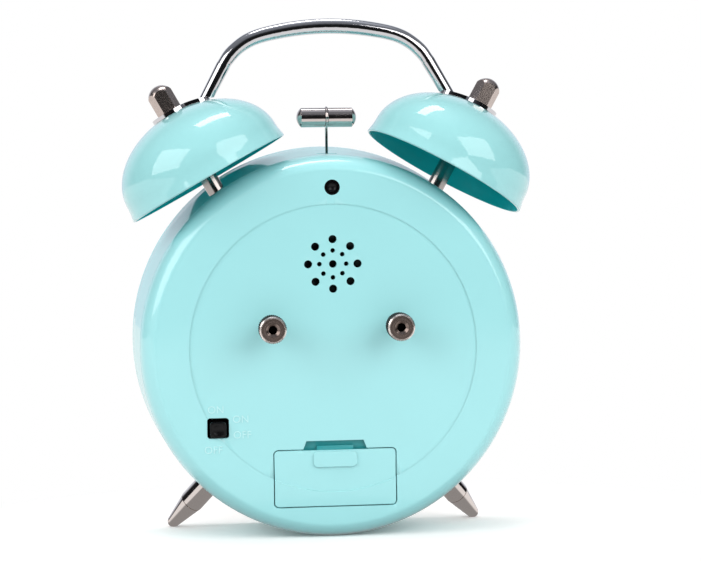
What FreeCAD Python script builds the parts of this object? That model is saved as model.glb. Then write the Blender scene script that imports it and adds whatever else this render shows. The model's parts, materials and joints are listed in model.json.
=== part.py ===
import FreeCAD, Part
import math
import os

# Twin-bell alarm clock, in millimetres.
# Everything is modelled in the drum's frame: Y runs along the drum's axis, with the flat rear face
# at Y = 0 and the dial towards -Y, Z is up, and the slide switch lies on the +X side.
# At the end the whole clock is leaned back on its feet and moved to its origin.

V = FreeCAD.Vector

# ---------------------------------------------------------------- clearances
RUN_GAP = 0.08          # radial clearance of a shaft that turns in a hole
SEAT_GAP = 0.05         # between pieces that are fastened together
MOVE_GAP = 0.3          # between pieces that pass each other

# ---------------------------------------------------------------- drum and bezel
DRUM_FRONT_R = 59.2
DRUM_DRAFT = 1.2        # how much narrower the drum is at its rear
DRUM_REAR_R = DRUM_FRONT_R - DRUM_DRAFT
DRUM_REAR_Y = -6.2
DRUM_DEPTH = 33.0
DRUM_FRONT_Y = DRUM_REAR_Y - DRUM_DEPTH
DRUM_WALL = 0.6
BEZEL_LAP = 2.3         # how far the bezel's skirt reaches back over the drum
BEZEL_DEPTH = 4.3       # from the drum's front edge to the bezel's front
BEZEL_PROUD = 1.6       # how far the bezel stands out past the drum
BEZEL_BAND = 5.6        # from the drum's outside in to the window
WINDOW_R = DRUM_FRONT_R - BEZEL_BAND
BEZEL_LIP = 2.2         # thickness of the lip that holds the lens
LENS_T = 1.2
LENS_RISE = 2.3
LENS_SEAT = 2.2         # width of the flat flange round the lens

# ---------------------------------------------------------------- rear cover
COVER_PROUD = 0.5       # how far the cover stands out past the drum's rear edge
COVER_R = DRUM_REAR_R + COVER_PROUD
COVER_EDGE_R = 4.8
COVER_WALL = 2.0
STEP_INSET = 14.6       # from the cover's edge in to the shallow recess in the middle
STEP_R = COVER_R - STEP_INSET
STEP_DEPTH = 0.4
SPIGOT_LENGTH = 4.0
SPIGOT_WALL = 1.6
SOUND_DROP = 18.3       # from the recess's edge down to the middle of the sound holes
SOUND_Z = STEP_R - SOUND_DROP
SOUND_COUNT = 8         # holes in each of the two rings round the middle hole
SOUND_MIDDLE_R = 1.15
SOUND_INNER_RING_R = 4.08
SOUND_INNER_R = 0.7
SOUND_OUTER_RING_R = 7.52
SOUND_OUTER_R = 1.22
BUZZER_R = 12.0
BUZZER_DEPTH = 5.0
BUZZER_WALL = 0.5
DIAPHRAGM_DROP = 1.0    # from the cup's rim down to the diaphragm
DIAPHRAGM_T = 0.8

# ---------------------------------------------------------------- battery bay
DOOR_W = 37.2
DOOR_H = 17.2
DOOR_RISE = 18.8        # from the cover's lowest edge up to the middle of the door
DOOR_Z = DOOR_RISE - COVER_R
DOOR_T = 1.6
DOOR_CORNER = 1.6
DOOR_GAP = 0.3
LEDGE = 1.0             # width of the ledge that the door rests on
PAD_W = 13.4
PAD_H = 4.8
PAD_RISE = 0.7
PAD_DROP = 0.4          # from the door's top edge down to the pad
NOTCH_W = 19.6
NOTCH_H = 2.5
NOTCH_SLANT = 1.1
HOOK_X = 12.0           # the two hooks on the door's lower edge
HOOK_W = 5.0
HOOK_T = 0.9
HOOK_REACH = 1.3
CELL_R = 6.0
CELL_LENGTH = 28.4
CELL_CAP_R = 2.4
CELL_CAP_LENGTH = 1.4
CELL_EDGE = 0.5
CONTACT_WIRE_R = 0.3
TRAY_WALL = 1.1
TRAY_W = 36.0
HOOK_DEPTH = 3.0        # of the slots that the hooks swing in

# ---------------------------------------------------------------- controls
KNOB_X = 19.2
KNOB_Z = 7.05
KNOB_R = 4.17
KNOB_LENGTH = 6.6
KNOB_FACE_Y = 12.0
KNURLS = 40
KNURL_DEPTH = 0.22
KNOB_EDGE = 0.5         # chamfer at both ends
KNOB_HOLE_R = 1.2
KNOB_DISH_R = 2.1
KNOB_DISH_DEPTH = 0.7
STEM_R = 1.75
SWITCH_INSET = 15.9     # from the cover's edge in to the switch
SWITCH_DEG = -33.6      # of the switch round the cover, from level
SWITCH_X = (COVER_R - SWITCH_INSET) * math.cos(math.radians(SWITCH_DEG))
SWITCH_Z = (COVER_R - SWITCH_INSET) * math.sin(math.radians(SWITCH_DEG))
SLOT_W = 6.6
SLOT_H = 6.2
SLIDER_W = 5.0
SLIDER_H = 4.7
SLIDER_PROUD = 0.8
SLIDER_DISH = 0.35      # depth of the dish for the fingertip
SWITCH_BODY = (11.0, 5.0, 12.0)
LIGHT_INSET = 9.7       # from the cover's edge in to the light button
LIGHT_Z = COVER_R - LIGHT_INSET
LIGHT_HOLE_R = 2.35
LIGHT_BUSH_WALL = 0.45
LIGHT_TRAVEL = 0.8
LIGHT_BODY = (7.0, 5.0, 7.0)

# ---------------------------------------------------------------- bells
BELL_STAND = 4.31       # from the drum's front radius out to the middle of a bell's rim
BELL_DEG = 34.9         # of the middle of the rim round the drum, from straight up
BELL_SAG = 0.64         # how much lower the bell at +X hangs, and how much higher the other
BELL_X = (DRUM_FRONT_R + BELL_STAND) * math.sin(math.radians(BELL_DEG))
BELL_Z = (DRUM_FRONT_R + BELL_STAND) * math.cos(math.radians(BELL_DEG))
BELL_BACK = 9.8         # from the drum's rear edge forwards to the bells' plane
BELL_Y = DRUM_REAR_Y - BELL_BACK
BELL_TILT = 29.4        # degrees outwards from upright
BELL_NOD = 4.0          # degrees forwards, shared by the bells and the handle
BELL_RIM_R = 26.8
BELL_HEIGHT = 22.7
BELL_WALL = 0.9
BELL_FLARE = 11.0       # degrees, of the skirt
BELL_SKIRT = 4.6        # height of the flared skirt
BELL_FLARE_R = 12.0     # radius of the bend between dome and skirt
BELL_SEAT_R = 5.3       # flat seat on the crown
STUD_R = 2.0
SLEEVE_R = 2.7
CAP_NUT_FLATS = 6.8
CAP_NUT_LENGTH = 8.7
INNER_NUT_FLATS = 7.0
INNER_NUT_T = 3.0
WASHER_R = 3.9
WASHER_MIN_T = 0.8

# ---------------------------------------------------------------- handle
TAB_T = 1.1
TAB_R = 6.2
TAB_NECK = 0.62         # width of the strip to the leg, as a share of the tab's
TAB_REACH = 11.1        # along the bell's curve, from the nut's middle to the end of the leg
HANDLE_ARCH_R = 82.7
HANDLE_ARCH_DEG = 14.0
HANDLE_SHOULDER_R = 18.8
HANDLE_LEG_DEG = 60.7   # slope of the legs below level
HANDLE_GRIP_R = 2.37
HANDLE_LEG_R = 1.95
HANDLE_SHIFT = -0.56    # sideways, of the bow between its tabs

# ---------------------------------------------------------------- hammer
HEAD_ABOVE = 10.7       # from the drum's front radius up to the head
HEAD_Z = DRUM_FRONT_R + HEAD_ABOVE
HEAD_LENGTH = 18.5
HEAD_R = 3.0
HEAD_END = 1.4          # depth of the domed ends
WIRE_R = 0.42
PIVOT_BELOW = 13.2      # from the drum's front radius down to the pivot
PIVOT_Z = DRUM_FRONT_R - PIVOT_BELOW
PIVOT_R = 1.0
LEVER_W = 4.4
LEVER_T = 2.0
LEVER_TAIL = 11.0       # pivot to the end of the tail
ARMATURE_H = 5.0
ARMATURE_W = 6.4
HAMMER_SWING = 10.6     # degrees each way, just short of a bell's rim
EAR_T = 1.0
EAR_GAP = 4.0
COIL_R = 4.6
COIL_LENGTH = 9.0
COIL_WAIST = 1.0        # from the cheeks' edge down to the winding
COIL_CHEEK = 0.8
COIL_END_GAP = 1.0      # from the core's ends to the bobbin
CORE_R = 1.8

# ---------------------------------------------------------------- movement and dial
MOVEMENT_W = 54.0
MOVEMENT_DROP = 15.0    # from the hammer's pivot down to the movement's top
MOVEMENT_TOP = PIVOT_Z - MOVEMENT_DROP
MOVEMENT_BOTTOM = -18.0
MOVEMENT_REAR = BELL_Y
LID_T = 4.0
MOVEMENT_SPLIT = MOVEMENT_REAR - LID_T
NOSE_R = 4.5
DIAL_T = 0.8
DIAL_DEPTH = 3.6        # from the lens flange back to the dial
FRAME_T = 1.2
SPACER_W = 2.6
HAND_PITCH = 0.75       # from one hand to the next along the axis
HAND_T = 0.3
LAMP_R = 1.5
LAMP_INSET = 5.1        # from the window's edge in to the lamp
LAMP_Z = WINDOW_R - LAMP_INSET
# length, width, tail and hub radius of each hand
ALARM_HAND = (WINDOW_R * 0.36, 1.6, 3.0, 4.0)
HOUR_HAND = (WINDOW_R * 0.51, 2.6, 4.0, 3.4)
MINUTE_HAND = (WINDOW_R * 0.75, 2.2, 6.0, 2.8)
SECOND_HAND = (WINDOW_R * 0.79, 0.7, 12.0, 1.8)

# ---------------------------------------------------------------- feet
FOOT_DEG = 39.5         # from straight down, round the drum
FOOT_SPLAY = 25.0       # towards the front
FOOT_BACK = 7.7         # from the drum's front edge back to the feet
FOOT_Y = DRUM_FRONT_Y + FOOT_BACK
FOOT_R = 3.8
FOOT_COLLAR = 9.4
FOOT_GROOVE = 0.3
FOOT_LENGTH = 21.5
FOOT_TIP_R = 2.0
FOOT_FLAT = 0.25        # ground off the tip where it stands


# ================================================================ helpers
def point(radius, height):
    return V(radius, 0, height)


def edges_through(start, steps):
    """Edges of an outline in the XZ plane. A step is (r, z) for a line or ((r, z), (r, z)) for an arc."""
    edges = []
    here = point(*start)
    for step in steps:
        if isinstance(step[0], tuple):
            there = point(*step[1])
            edges.append(Part.Arc(here, point(*step[0]), there).toShape())
        else:
            there = point(*step)
            edges.append(Part.makeLine(here, there))
        here = there
    return edges


def upright(solid):
    """The same solid with its faces outwards."""
    if solid.Volume < 0:
        solid.reverse()
    return solid


def revolved(edges):
    face = Part.Face(Part.Wire(edges))
    return upright(face.revolve(V(0, 0, 0), V(0, 0, 1), 360))


def turned(start, *steps):
    """Solid of revolution about Z, from a closed outline of (radius, height) points."""
    return revolved(edges_through(start, steps + (start,)))


def rod(radius, low, high):
    return Part.makeCylinder(radius, high - low, V(0, 0, low))


def tube(outer, inner, low, high):
    return rod(outer, low, high).cut(rod(inner, low - 1, high + 1))


def on_drum(solid):
    """Turn a piece made about Z so that it lies along the drum's axis."""
    solid = solid.copy()
    solid.rotate(V(0, 0, 0), V(1, 0, 0), -90)
    return solid


def moved(solid, x, y, z):
    solid = solid.copy()
    solid.translate(V(x, y, z))
    return solid


def block(x_low, x_high, y_low, y_high, z_low, z_high):
    size = (x_high - x_low, y_high - y_low, z_high - z_low)
    return Part.makeBox(*size, V(x_low, y_low, z_low))


def plate(width, height, corner, y_low, y_high, x=0.0, z=0.0):
    """Plate square to the drum's axis, with its four long corners rounded."""
    solid = block(x - width / 2, x + width / 2, y_low, y_high, z - height / 2, z + height / 2)
    along_y = [e for e in solid.Edges if abs(e.tangentAt(e.FirstParameter).y) > 0.9]
    return solid.makeFillet(corner, along_y)


def polygon_prism(points, low, high):
    wire = Part.makePolygon([V(x, y, low) for x, y in points + points[:1]])
    return Part.Face(wire).extrude(V(0, 0, high - low))


def hex_prism(flats, low, high):
    corner = flats / math.sqrt(3)
    turns = [math.radians(60 * i) for i in range(6)]
    return polygon_prism([(corner * math.cos(t), corner * math.sin(t)) for t in turns], low, high)


def on_arc(centre, radius, degrees):
    angle = math.radians(degrees)
    return centre[0] + radius * math.cos(angle), centre[1] + radius * math.sin(angle)


def cap_middle(radius, depth):
    """Point halfway along the arc of a spherical cap, as its radius and its drop below the top."""
    sphere = (radius ** 2 + depth ** 2) / (2 * depth)
    angle = math.asin(radius / sphere) / 2
    return sphere * math.sin(angle), sphere * (1 - math.cos(angle))


# ================================================================ the drum's surface
def drum_radius(y):
    """Outer radius of the drum: it widens towards the front and ends in a short cylinder."""
    straight_from = DRUM_FRONT_Y + BEZEL_LAP
    share = (y - DRUM_REAR_Y) / (straight_from - DRUM_REAR_Y)
    return DRUM_REAR_R + (DRUM_FRONT_R - DRUM_REAR_R) * min(1.0, max(0.0, share))


def drum_core(inset):
    """Solid bounded by the drum's outer surface moved inwards, used to cope pieces to the drum."""
    straight_from = DRUM_FRONT_Y + BEZEL_LAP
    rear, front = DRUM_REAR_R - inset, DRUM_FRONT_R - inset
    return on_drum(turned((0, DRUM_FRONT_Y), (front, DRUM_FRONT_Y), (front, straight_from),
                          (rear, DRUM_REAR_Y), (0, DRUM_REAR_Y)))


def distance_to_drum(start, direction, inset):
    """How far a ray from inside or outside the drum runs to its surface, moved inwards by inset."""
    def outside(distance):
        spot = start + direction * distance
        return math.hypot(spot.x, spot.z) > drum_radius(spot.y) - inset
    near, far = -DRUM_FRONT_R, DRUM_FRONT_R
    for _ in range(60):
        middle = (near + far) / 2
        if outside(middle):
            far = middle
        else:
            near = middle
    return (near + far) / 2


def case_drum():
    hollow = drum_core(0).cut(drum_core(DRUM_WALL))
    for side in (-1, 1):
        hollow = hollow.cut(at_bell(rod(STUD_R + SEAT_GAP, -2 * BELL_HEIGHT, 0), side))
        hollow = hollow.cut(at_foot(rod(STUD_R + SEAT_GAP, -FOOT_LENGTH, FOOT_LENGTH / 2), side))
    return hollow.cut(hammer_slot())


def hammer_slot():
    """Slot with round ends in the top of the drum, as long as the wire's swing."""
    reach = (DRUM_FRONT_R - PIVOT_Z) * math.tan(math.radians(HAMMER_SWING))
    half = WIRE_R + MOVE_GAP
    slot = block(-reach, reach, BELL_Y - half, BELL_Y + half, PIVOT_Z, DRUM_FRONT_R)
    ends = [Part.makeCylinder(half, DRUM_FRONT_R - PIVOT_Z, V(x, BELL_Y, PIVOT_Z)) for x in (-reach, reach)]
    return slot.fuse(ends)


# ================================================================ front
BEZEL_FRONT_Y = DRUM_FRONT_Y - BEZEL_DEPTH
LENS_R = WINDOW_R + LENS_SEAT
LENS_FRONT_Y = BEZEL_FRONT_Y + BEZEL_LIP
LENS_REAR_Y = LENS_FRONT_Y + LENS_T
DIAL_FRONT_Y = LENS_REAR_Y + DIAL_DEPTH
DIAL_REAR_Y = DIAL_FRONT_Y + DIAL_T
MOVEMENT_FRONT = DIAL_REAR_Y + FRAME_T + 2 * SEAT_GAP


def front_bezel():
    skirt_y = DRUM_FRONT_Y + BEZEL_LAP
    inside = DRUM_FRONT_R + SEAT_GAP
    outside = DRUM_FRONT_R + BEZEL_PROUD
    shoulder_y = DRUM_FRONT_Y - BEZEL_DEPTH / 3
    round_r = shoulder_y - BEZEL_FRONT_Y
    lip_edge = BEZEL_LIP / 3
    return on_drum(turned(
        (inside, skirt_y),
        (outside - lip_edge / 2, skirt_y),
        ((outside, (skirt_y + shoulder_y) / 2), (outside - lip_edge / 2, shoulder_y)),
        (on_arc((outside - lip_edge / 2 - round_r, shoulder_y), round_r, -45),
         (outside - lip_edge / 2 - round_r, BEZEL_FRONT_Y)),
        (WINDOW_R + lip_edge, BEZEL_FRONT_Y),
        (WINDOW_R, BEZEL_FRONT_Y + lip_edge),
        (WINDOW_R, LENS_FRONT_Y - SEAT_GAP),
        (LENS_R + SEAT_GAP, LENS_FRONT_Y - SEAT_GAP),
        (LENS_R + SEAT_GAP, DRUM_FRONT_Y - SEAT_GAP),
        (inside, DRUM_FRONT_Y - SEAT_GAP)))


def lens():
    clear_r = WINDOW_R - LENS_SEAT / 4
    middle_r, drop = cap_middle(clear_r, LENS_RISE)
    rise = LENS_RISE - drop
    return on_drum(turned(
        (0, LENS_REAR_Y - LENS_RISE),
        ((middle_r, LENS_REAR_Y - rise), (clear_r, LENS_REAR_Y)),
        (LENS_R, LENS_REAR_Y),
        (LENS_R, LENS_FRONT_Y),
        (clear_r, LENS_FRONT_Y),
        ((middle_r, LENS_FRONT_Y - rise), (0, LENS_FRONT_Y - LENS_RISE))))


def inside_radius(y):
    """Radius of a disc that drops into the drum from the front and stops near y."""
    return drum_radius(y) - DRUM_WALL - MOVE_GAP


def spacer_ring():
    """White ring that holds the dial back from the lens."""
    outer = min(inside_radius(DIAL_FRONT_Y), LENS_R)
    inner = outer - SPACER_W
    return on_drum(tube(outer, inner, LENS_REAR_Y + SEAT_GAP, DIAL_FRONT_Y - SEAT_GAP))


def dial():
    disc = tube(inside_radius(DIAL_REAR_Y), NOSE_R + SEAT_GAP, DIAL_FRONT_Y, DIAL_REAR_Y)
    return on_drum(disc).cut(lamp_hole())


def inner_frame():
    """Moulded plate behind the dial, with a ring of openings that save material."""
    front = DIAL_REAR_Y + SEAT_GAP
    plate_r = inside_radius(front + FRAME_T)
    disc = tube(plate_r, NOSE_R + SEAT_GAP, front, front + FRAME_T)
    window_r = plate_r / 9
    window = rod(window_r, front - 1, front + FRAME_T + 1)
    for turn in range(10, 360, 20):
        spot = on_arc((0, 0), plate_r * 0.8, turn)
        if abs(spot[1]) < plate_r * 0.7:
            disc = disc.cut(moved(window, spot[0], spot[1], 0))
    washer_room = rod(WASHER_R + MOVE_GAP, foot_seat() - INNER_NUT_T, FOOT_R)
    reliefs = [at_foot(washer_room, side) for side in (-1, 1)]
    return on_drum(disc).cut([lamp_hole()] + reliefs)


def lamp_hole():
    return on_drum(rod(LAMP_R + SEAT_GAP, BEZEL_FRONT_Y, MOVEMENT_FRONT)).translated(V(0, 0, LAMP_Z))


def dial_lamp():
    """Small lamp that looks through the dial: a domed body on a wider flange behind the frame."""
    flange_y = DIAL_REAR_Y + FRAME_T + 2 * SEAT_GAP
    nose_y = DIAL_FRONT_Y - LAMP_R / 2
    lamp = turned((0, nose_y - LAMP_R), (on_arc((0, nose_y), LAMP_R, -45), (LAMP_R, nose_y)),
                  (LAMP_R, flange_y), (LAMP_R * 1.3, flange_y), (LAMP_R * 1.3, flange_y + LAMP_R),
                  (0, flange_y + LAMP_R))
    return on_drum(lamp).translated(V(0, 0, LAMP_Z))


# ================================================================ hands and arbors
def hand_outline(length, width, tail, hub_r):
    """Flat hand made about Z and pointing along +Y: a round hub, a blade and a short tail."""
    blade = polygon_prism([(-width / 2, 0), (-width * 0.7, length * 0.62), (0, length),
                           (width * 0.7, length * 0.62), (width / 2, 0), (width / 3, -tail),
                           (-width / 3, -tail)], 0, HAND_T)
    return blade.fuse(rod(hub_r, 0, HAND_T))


def hand(level, sizes, bore_r, degrees):
    """A hand on the drum's axis; level 0 is next to the dial, degrees run clockwise seen from the front."""
    flat = hand_outline(*sizes).cut(rod(bore_r, -1, 1))
    flat.rotate(V(0, 0, 0), V(1, 0, 0), 90)
    flat.rotate(V(0, 0, 0), V(0, 1, 0), degrees)
    return flat.translated(V(0, hand_y(level), 0))


def hand_y(level):
    """Rear face of a hand."""
    return DIAL_FRONT_Y - HAND_PITCH * (level + 1)


ARBOR_WALL = 0.5
SECOND_R = 0.55
MINUTE_R = SECOND_R + RUN_GAP + ARBOR_WALL
HOUR_R = MINUTE_R + RUN_GAP + ARBOR_WALL
ALARM_R = HOUR_R + RUN_GAP + ARBOR_WALL
ARBOR_REAR_Y = MOVEMENT_FRONT + 6.0


def arbor(level, outer):
    """Tube or pin that carries a hand; each turns inside the next larger one."""
    front = hand_y(level) - HAND_T - SEAT_GAP
    rear = ARBOR_REAR_Y + level * HAND_PITCH
    if level == 3:
        return on_drum(rod(outer, front, rear))
    return on_drum(tube(outer, outer - ARBOR_WALL, front, rear))


# ================================================================ movement
def arbor_bores():
    """Stepped blind hole for the four arbors."""
    bores = on_drum(rod(ALARM_R + RUN_GAP, BEZEL_FRONT_Y, ARBOR_REAR_Y + MOVE_GAP))
    radii = (HOUR_R, MINUTE_R, SECOND_R)
    for level, radius in enumerate(radii, start=1):
        rear = ARBOR_REAR_Y + level * HAND_PITCH + MOVE_GAP
        bores = bores.fuse(on_drum(rod(radius + RUN_GAP, BEZEL_FRONT_Y, rear)))
    return bores


def movement_block(y_low, y_high):
    height = MOVEMENT_TOP - MOVEMENT_BOTTOM
    middle = (MOVEMENT_TOP + MOVEMENT_BOTTOM) / 2
    return plate(MOVEMENT_W, height, 3.0, y_low, y_high, 0, middle)


def stem_bores(radius):
    bores = [on_drum(rod(radius, STEM_REAR_Y - MOVE_GAP, 1)).translated(V(side * KNOB_X, 0, KNOB_Z))
             for side in (-1, 1)]
    return bores[0].fuse(bores[1])


STEM_REAR_Y = MOVEMENT_SPLIT - 3.0


def movement_case():
    case = movement_block(MOVEMENT_FRONT, MOVEMENT_SPLIT)
    nose = on_drum(rod(NOSE_R, DIAL_FRONT_Y - HAND_PITCH / 2, MOVEMENT_FRONT))
    return case.fuse(nose).cut(arbor_bores()).cut(stem_bores(STEM_R + RUN_GAP))


def movement_lid():
    lid = movement_block(MOVEMENT_SPLIT + SEAT_GAP, MOVEMENT_REAR)
    return lid.cut(stem_bores(STEM_R + RUN_GAP))


# ================================================================ rear cover
COVER_INSIDE_Y = -(STEP_DEPTH + COVER_WALL)


def cover_shell():
    spigot_r = DRUM_REAR_R - DRUM_WALL - MOVE_GAP
    bore_r = spigot_r - SPIGOT_WALL
    flat_r = COVER_R - COVER_EDGE_R
    inner_r = bore_r - flat_r
    return on_drum(turned(
        (0, -STEP_DEPTH), (STEP_R, -STEP_DEPTH), (STEP_R, 0), (flat_r, 0),
        (on_arc((flat_r, -COVER_EDGE_R), COVER_EDGE_R, 45), (COVER_R, -COVER_EDGE_R)),
        (COVER_R, DRUM_REAR_Y + SEAT_GAP), (spigot_r, DRUM_REAR_Y + SEAT_GAP),
        (spigot_r, DRUM_REAR_Y - SPIGOT_LENGTH), (bore_r, DRUM_REAR_Y - SPIGOT_LENGTH),
        (bore_r, COVER_INSIDE_Y - inner_r),
        (on_arc((flat_r, COVER_INSIDE_Y - inner_r), inner_r, 45), (flat_r, COVER_INSIDE_Y)),
        (0, COVER_INSIDE_Y)))


def through_cover(radius, x, z):
    return on_drum(rod(radius, 2 * COVER_INSIDE_Y, 1)).translated(V(x, 0, z))


def sound_holes():
    """A middle hole with a ring of small and a ring of larger holes round it."""
    holes = [through_cover(SOUND_MIDDLE_R, 0, SOUND_Z)]
    for ring_r, hole_r in ((SOUND_INNER_RING_R, SOUND_INNER_R), (SOUND_OUTER_RING_R, SOUND_OUTER_R)):
        for i in range(SOUND_COUNT):
            x, z = on_arc((0, SOUND_Z), ring_r, i * 360 / SOUND_COUNT)
            holes.append(through_cover(hole_r, x, z))
    return holes


def finger_notch():
    """Slanted notch above the door, where a fingertip reaches its edge."""
    low = DOOR_Z + DOOR_H / 2
    top = low + DOOR_GAP + NOTCH_H
    half = NOTCH_W / 2
    outline = [(-half, low), (-half + NOTCH_SLANT, top), (half - NOTCH_SLANT, top), (half, low)]
    notch = polygon_prism(outline, -1, DOOR_T + DOOR_GAP / 2)
    notch.rotate(V(0, 0, 0), V(1, 0, 0), 90)
    return notch


def rear_cover():
    ring_r = BUZZER_R + SEAT_GAP
    ring = tube(ring_r + SPIGOT_WALL / 2, ring_r, COVER_INSIDE_Y - BUZZER_DEPTH / 2, COVER_INSIDE_Y + 0.5)
    cover = cover_shell().fuse(on_drum(ring).translated(V(0, 0, SOUND_Z)))
    cuts = sound_holes()
    cuts += [through_cover(STEM_R + MOVE_GAP, side * KNOB_X, KNOB_Z) for side in (-1, 1)]
    cuts.append(through_cover(LIGHT_HOLE_R, 0, LIGHT_Z))
    cuts.append(plate(SLOT_W, SLOT_H, 0.9, 2 * COVER_INSIDE_Y, 1, SWITCH_X, SWITCH_Z))
    rebate_w, rebate_h = DOOR_W + 2 * DOOR_GAP, DOOR_H + 2 * DOOR_GAP
    cuts.append(plate(rebate_w, rebate_h, DOOR_CORNER, -DOOR_T - DOOR_GAP / 2, 1, 0, DOOR_Z))
    cuts.append(plate(OPENING_W, OPENING_H, DOOR_CORNER, 2 * COVER_INSIDE_Y, 1, 0, DOOR_Z))
    cuts.append(finger_notch())
    for side in (-1, 1):
        half = HOOK_W / 2 + DOOR_GAP
        cuts.append(block(side * HOOK_X - half, side * HOOK_X + half, 2 * COVER_INSIDE_Y, -DOOR_T,
                          DOOR_Z - rebate_h / 2, DOOR_Z))
    return cover.cut(cuts)


# ================================================================ battery bay
def battery_door():
    top, bottom = DOOR_Z + DOOR_H / 2, DOOR_Z - DOOR_H / 2
    door = plate(DOOR_W, DOOR_H, DOOR_CORNER - DOOR_GAP, -DOOR_T, 0, 0, DOOR_Z)
    door = door.cut(on_drum(rod(STEP_R, -STEP_DEPTH, 1)))
    pad_z = top - PAD_DROP - PAD_H / 2
    pad = plate(PAD_W, PAD_H, 1.4, -STEP_DEPTH - 0.2, PAD_RISE - STEP_DEPTH, 0, pad_z)
    tongue = block(-PAD_W / 2.4, PAD_W / 2.4, -DOOR_T, -DOOR_T / 2, top - 1, top + NOTCH_H / 2)
    door = door.fuse([pad, tongue])
    hook_y = COVER_INSIDE_Y - DOOR_GAP
    for side in (-1, 1):
        left, right = side * HOOK_X - HOOK_W / 2, side * HOOK_X + HOOK_W / 2
        neck = block(left, right, hook_y - HOOK_T, -DOOR_T + 0.2, bottom + 0.1, bottom + 0.1 + HOOK_T)
        foot = block(left, right, hook_y - HOOK_T, hook_y, bottom - HOOK_REACH, bottom + HOOK_T)
        door = door.fuse([neck, foot])
    return door.removeSplitter()


OPENING_W = DOOR_W + 2 * DOOR_GAP - 2 * LEDGE
OPENING_H = DOOR_H + 2 * DOOR_GAP - 2 * LEDGE
TRAY_RIM_Y = COVER_INSIDE_Y - SEAT_GAP
TRAY_INNER_H = 2 * CELL_R + 0.5
TRAY_DEPTH = 2 * CELL_R + 2.0
TRAY_FLOOR_Y = TRAY_RIM_Y - TRAY_DEPTH
TRAY_Z = DOOR_Z + DOOR_H / 2 - LEDGE - TRAY_WALL - TRAY_INNER_H / 2
CELL_Y = TRAY_FLOOR_Y + CELL_R + SEAT_GAP
CONTACT_T = 0.4


def battery_tray():
    """Open box for the cell, with a flange that closes the space round the cover's opening."""
    outer_h = TRAY_INNER_H + 2 * TRAY_WALL
    shell = plate(TRAY_W, outer_h, 1.5, TRAY_FLOOR_Y - TRAY_WALL, TRAY_RIM_Y, 0, TRAY_Z)
    flange = plate(OPENING_W + 2 * LEDGE, OPENING_H + 2 * LEDGE, 1.5, TRAY_RIM_Y - LEDGE, TRAY_RIM_Y,
                   0, DOOR_Z)
    shell = shell.fuse(flange)
    inner_w = TRAY_W - 2 * TRAY_WALL
    pocket = block(-inner_w / 2, inner_w / 2, TRAY_FLOOR_Y, 0,
                   TRAY_Z - TRAY_INNER_H / 2, TRAY_Z + TRAY_INNER_H / 2)
    shell = shell.cut(pocket)
    for side in (-1, 1):
        half = HOOK_W / 2 + 2 * DOOR_GAP
        shell = shell.cut(block(side * HOOK_X - half, side * HOOK_X + half, TRAY_RIM_Y - HOOK_DEPTH, 0,
                                TRAY_Z - outer_h, TRAY_Z - TRAY_INNER_H / 2 + 0.1))
    return shell


def along_x(solid):
    """Turn a piece made about Z so that it lies along X."""
    solid = solid.copy()
    solid.rotate(V(0, 0, 0), V(0, 1, 0), 90)
    return solid


CELL_END_X = TRAY_W / 2 - TRAY_WALL - CONTACT_T - 2 * SEAT_GAP


def battery_cell():
    """Cylindrical cell with its raised positive cap towards +X."""
    cap_x = CELL_END_X - CELL_CAP_LENGTH
    low = cap_x - CELL_LENGTH
    flat_r = CELL_R - CELL_EDGE
    cell = turned((0, low), (flat_r, low), (CELL_R, low + CELL_EDGE), (CELL_R, cap_x - CELL_EDGE),
                  (flat_r, cap_x), (CELL_CAP_R, cap_x), (CELL_CAP_R, CELL_END_X), (0, CELL_END_X))
    return along_x(cell).translated(V(0, CELL_Y, TRAY_Z))


def contact_plate(side):
    x = side * (TRAY_W / 2 - TRAY_WALL - SEAT_GAP - CONTACT_T / 2)
    return block(x - CONTACT_T / 2, x + CONTACT_T / 2, CELL_Y - CELL_R + 1, CELL_Y + CELL_R - 1,
                 TRAY_Z - CELL_R + 1, TRAY_Z + CELL_R - 1)


def contact_spring():
    """Flat end plate with a short coil that presses on the cell's base."""
    plate_x = -(TRAY_W / 2 - TRAY_WALL - SEAT_GAP - CONTACT_T)
    cell_x = CELL_END_X - CELL_CAP_LENGTH - CELL_LENGTH
    gap = cell_x - plate_x
    coil = Part.makeHelix(gap / 3, gap - 2 * CONTACT_WIRE_R, CELL_R / 2)
    section = Part.Wire(Part.Circle(V(CELL_R / 2, 0, 0), V(0, 1, 0), CONTACT_WIRE_R).toShape())
    spring = Part.Wire(coil).makePipeShell([section], True, True)
    spring = along_x(upright(spring)).translated(V(plate_x + CONTACT_WIRE_R * 0.7, CELL_Y, TRAY_Z))
    return contact_plate(-1).fuse(spring)


# ================================================================ controls
def knob():
    """Knurled knob made about Z from its rear face at 0 to its front face."""
    form = turned((0, 0), (KNOB_R - KNOB_EDGE, 0), (KNOB_R, KNOB_EDGE), (KNOB_R, KNOB_LENGTH - KNOB_EDGE),
                  (KNOB_R - KNOB_EDGE, KNOB_LENGTH), (KNOB_DISH_R, KNOB_LENGTH),
                  (KNOB_HOLE_R, KNOB_LENGTH - KNOB_DISH_DEPTH), (KNOB_HOLE_R, KNOB_LENGTH * 0.6),
                  (0, KNOB_LENGTH * 0.6))
    points = []
    for i in range(2 * KNURLS):
        radius = KNOB_R - KNURL_DEPTH * (i % 2)
        points.append(on_arc((0, 0), radius, i * 180 / KNURLS))
    form = form.common(polygon_prism(points, 0, KNOB_LENGTH))
    return form.cut(rod(STEM_R + SEAT_GAP, -1, KNOB_LENGTH / 2))


def placed_knob(side):
    rear_y = KNOB_FACE_Y - KNOB_LENGTH
    return on_drum(knob()).translated(V(side * KNOB_X, rear_y, KNOB_Z))


def stem(side):
    front_y = KNOB_FACE_Y - KNOB_LENGTH / 2 - SEAT_GAP
    return on_drum(rod(STEM_R, STEM_REAR_Y, front_y)).translated(V(side * KNOB_X, 0, KNOB_Z))


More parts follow.
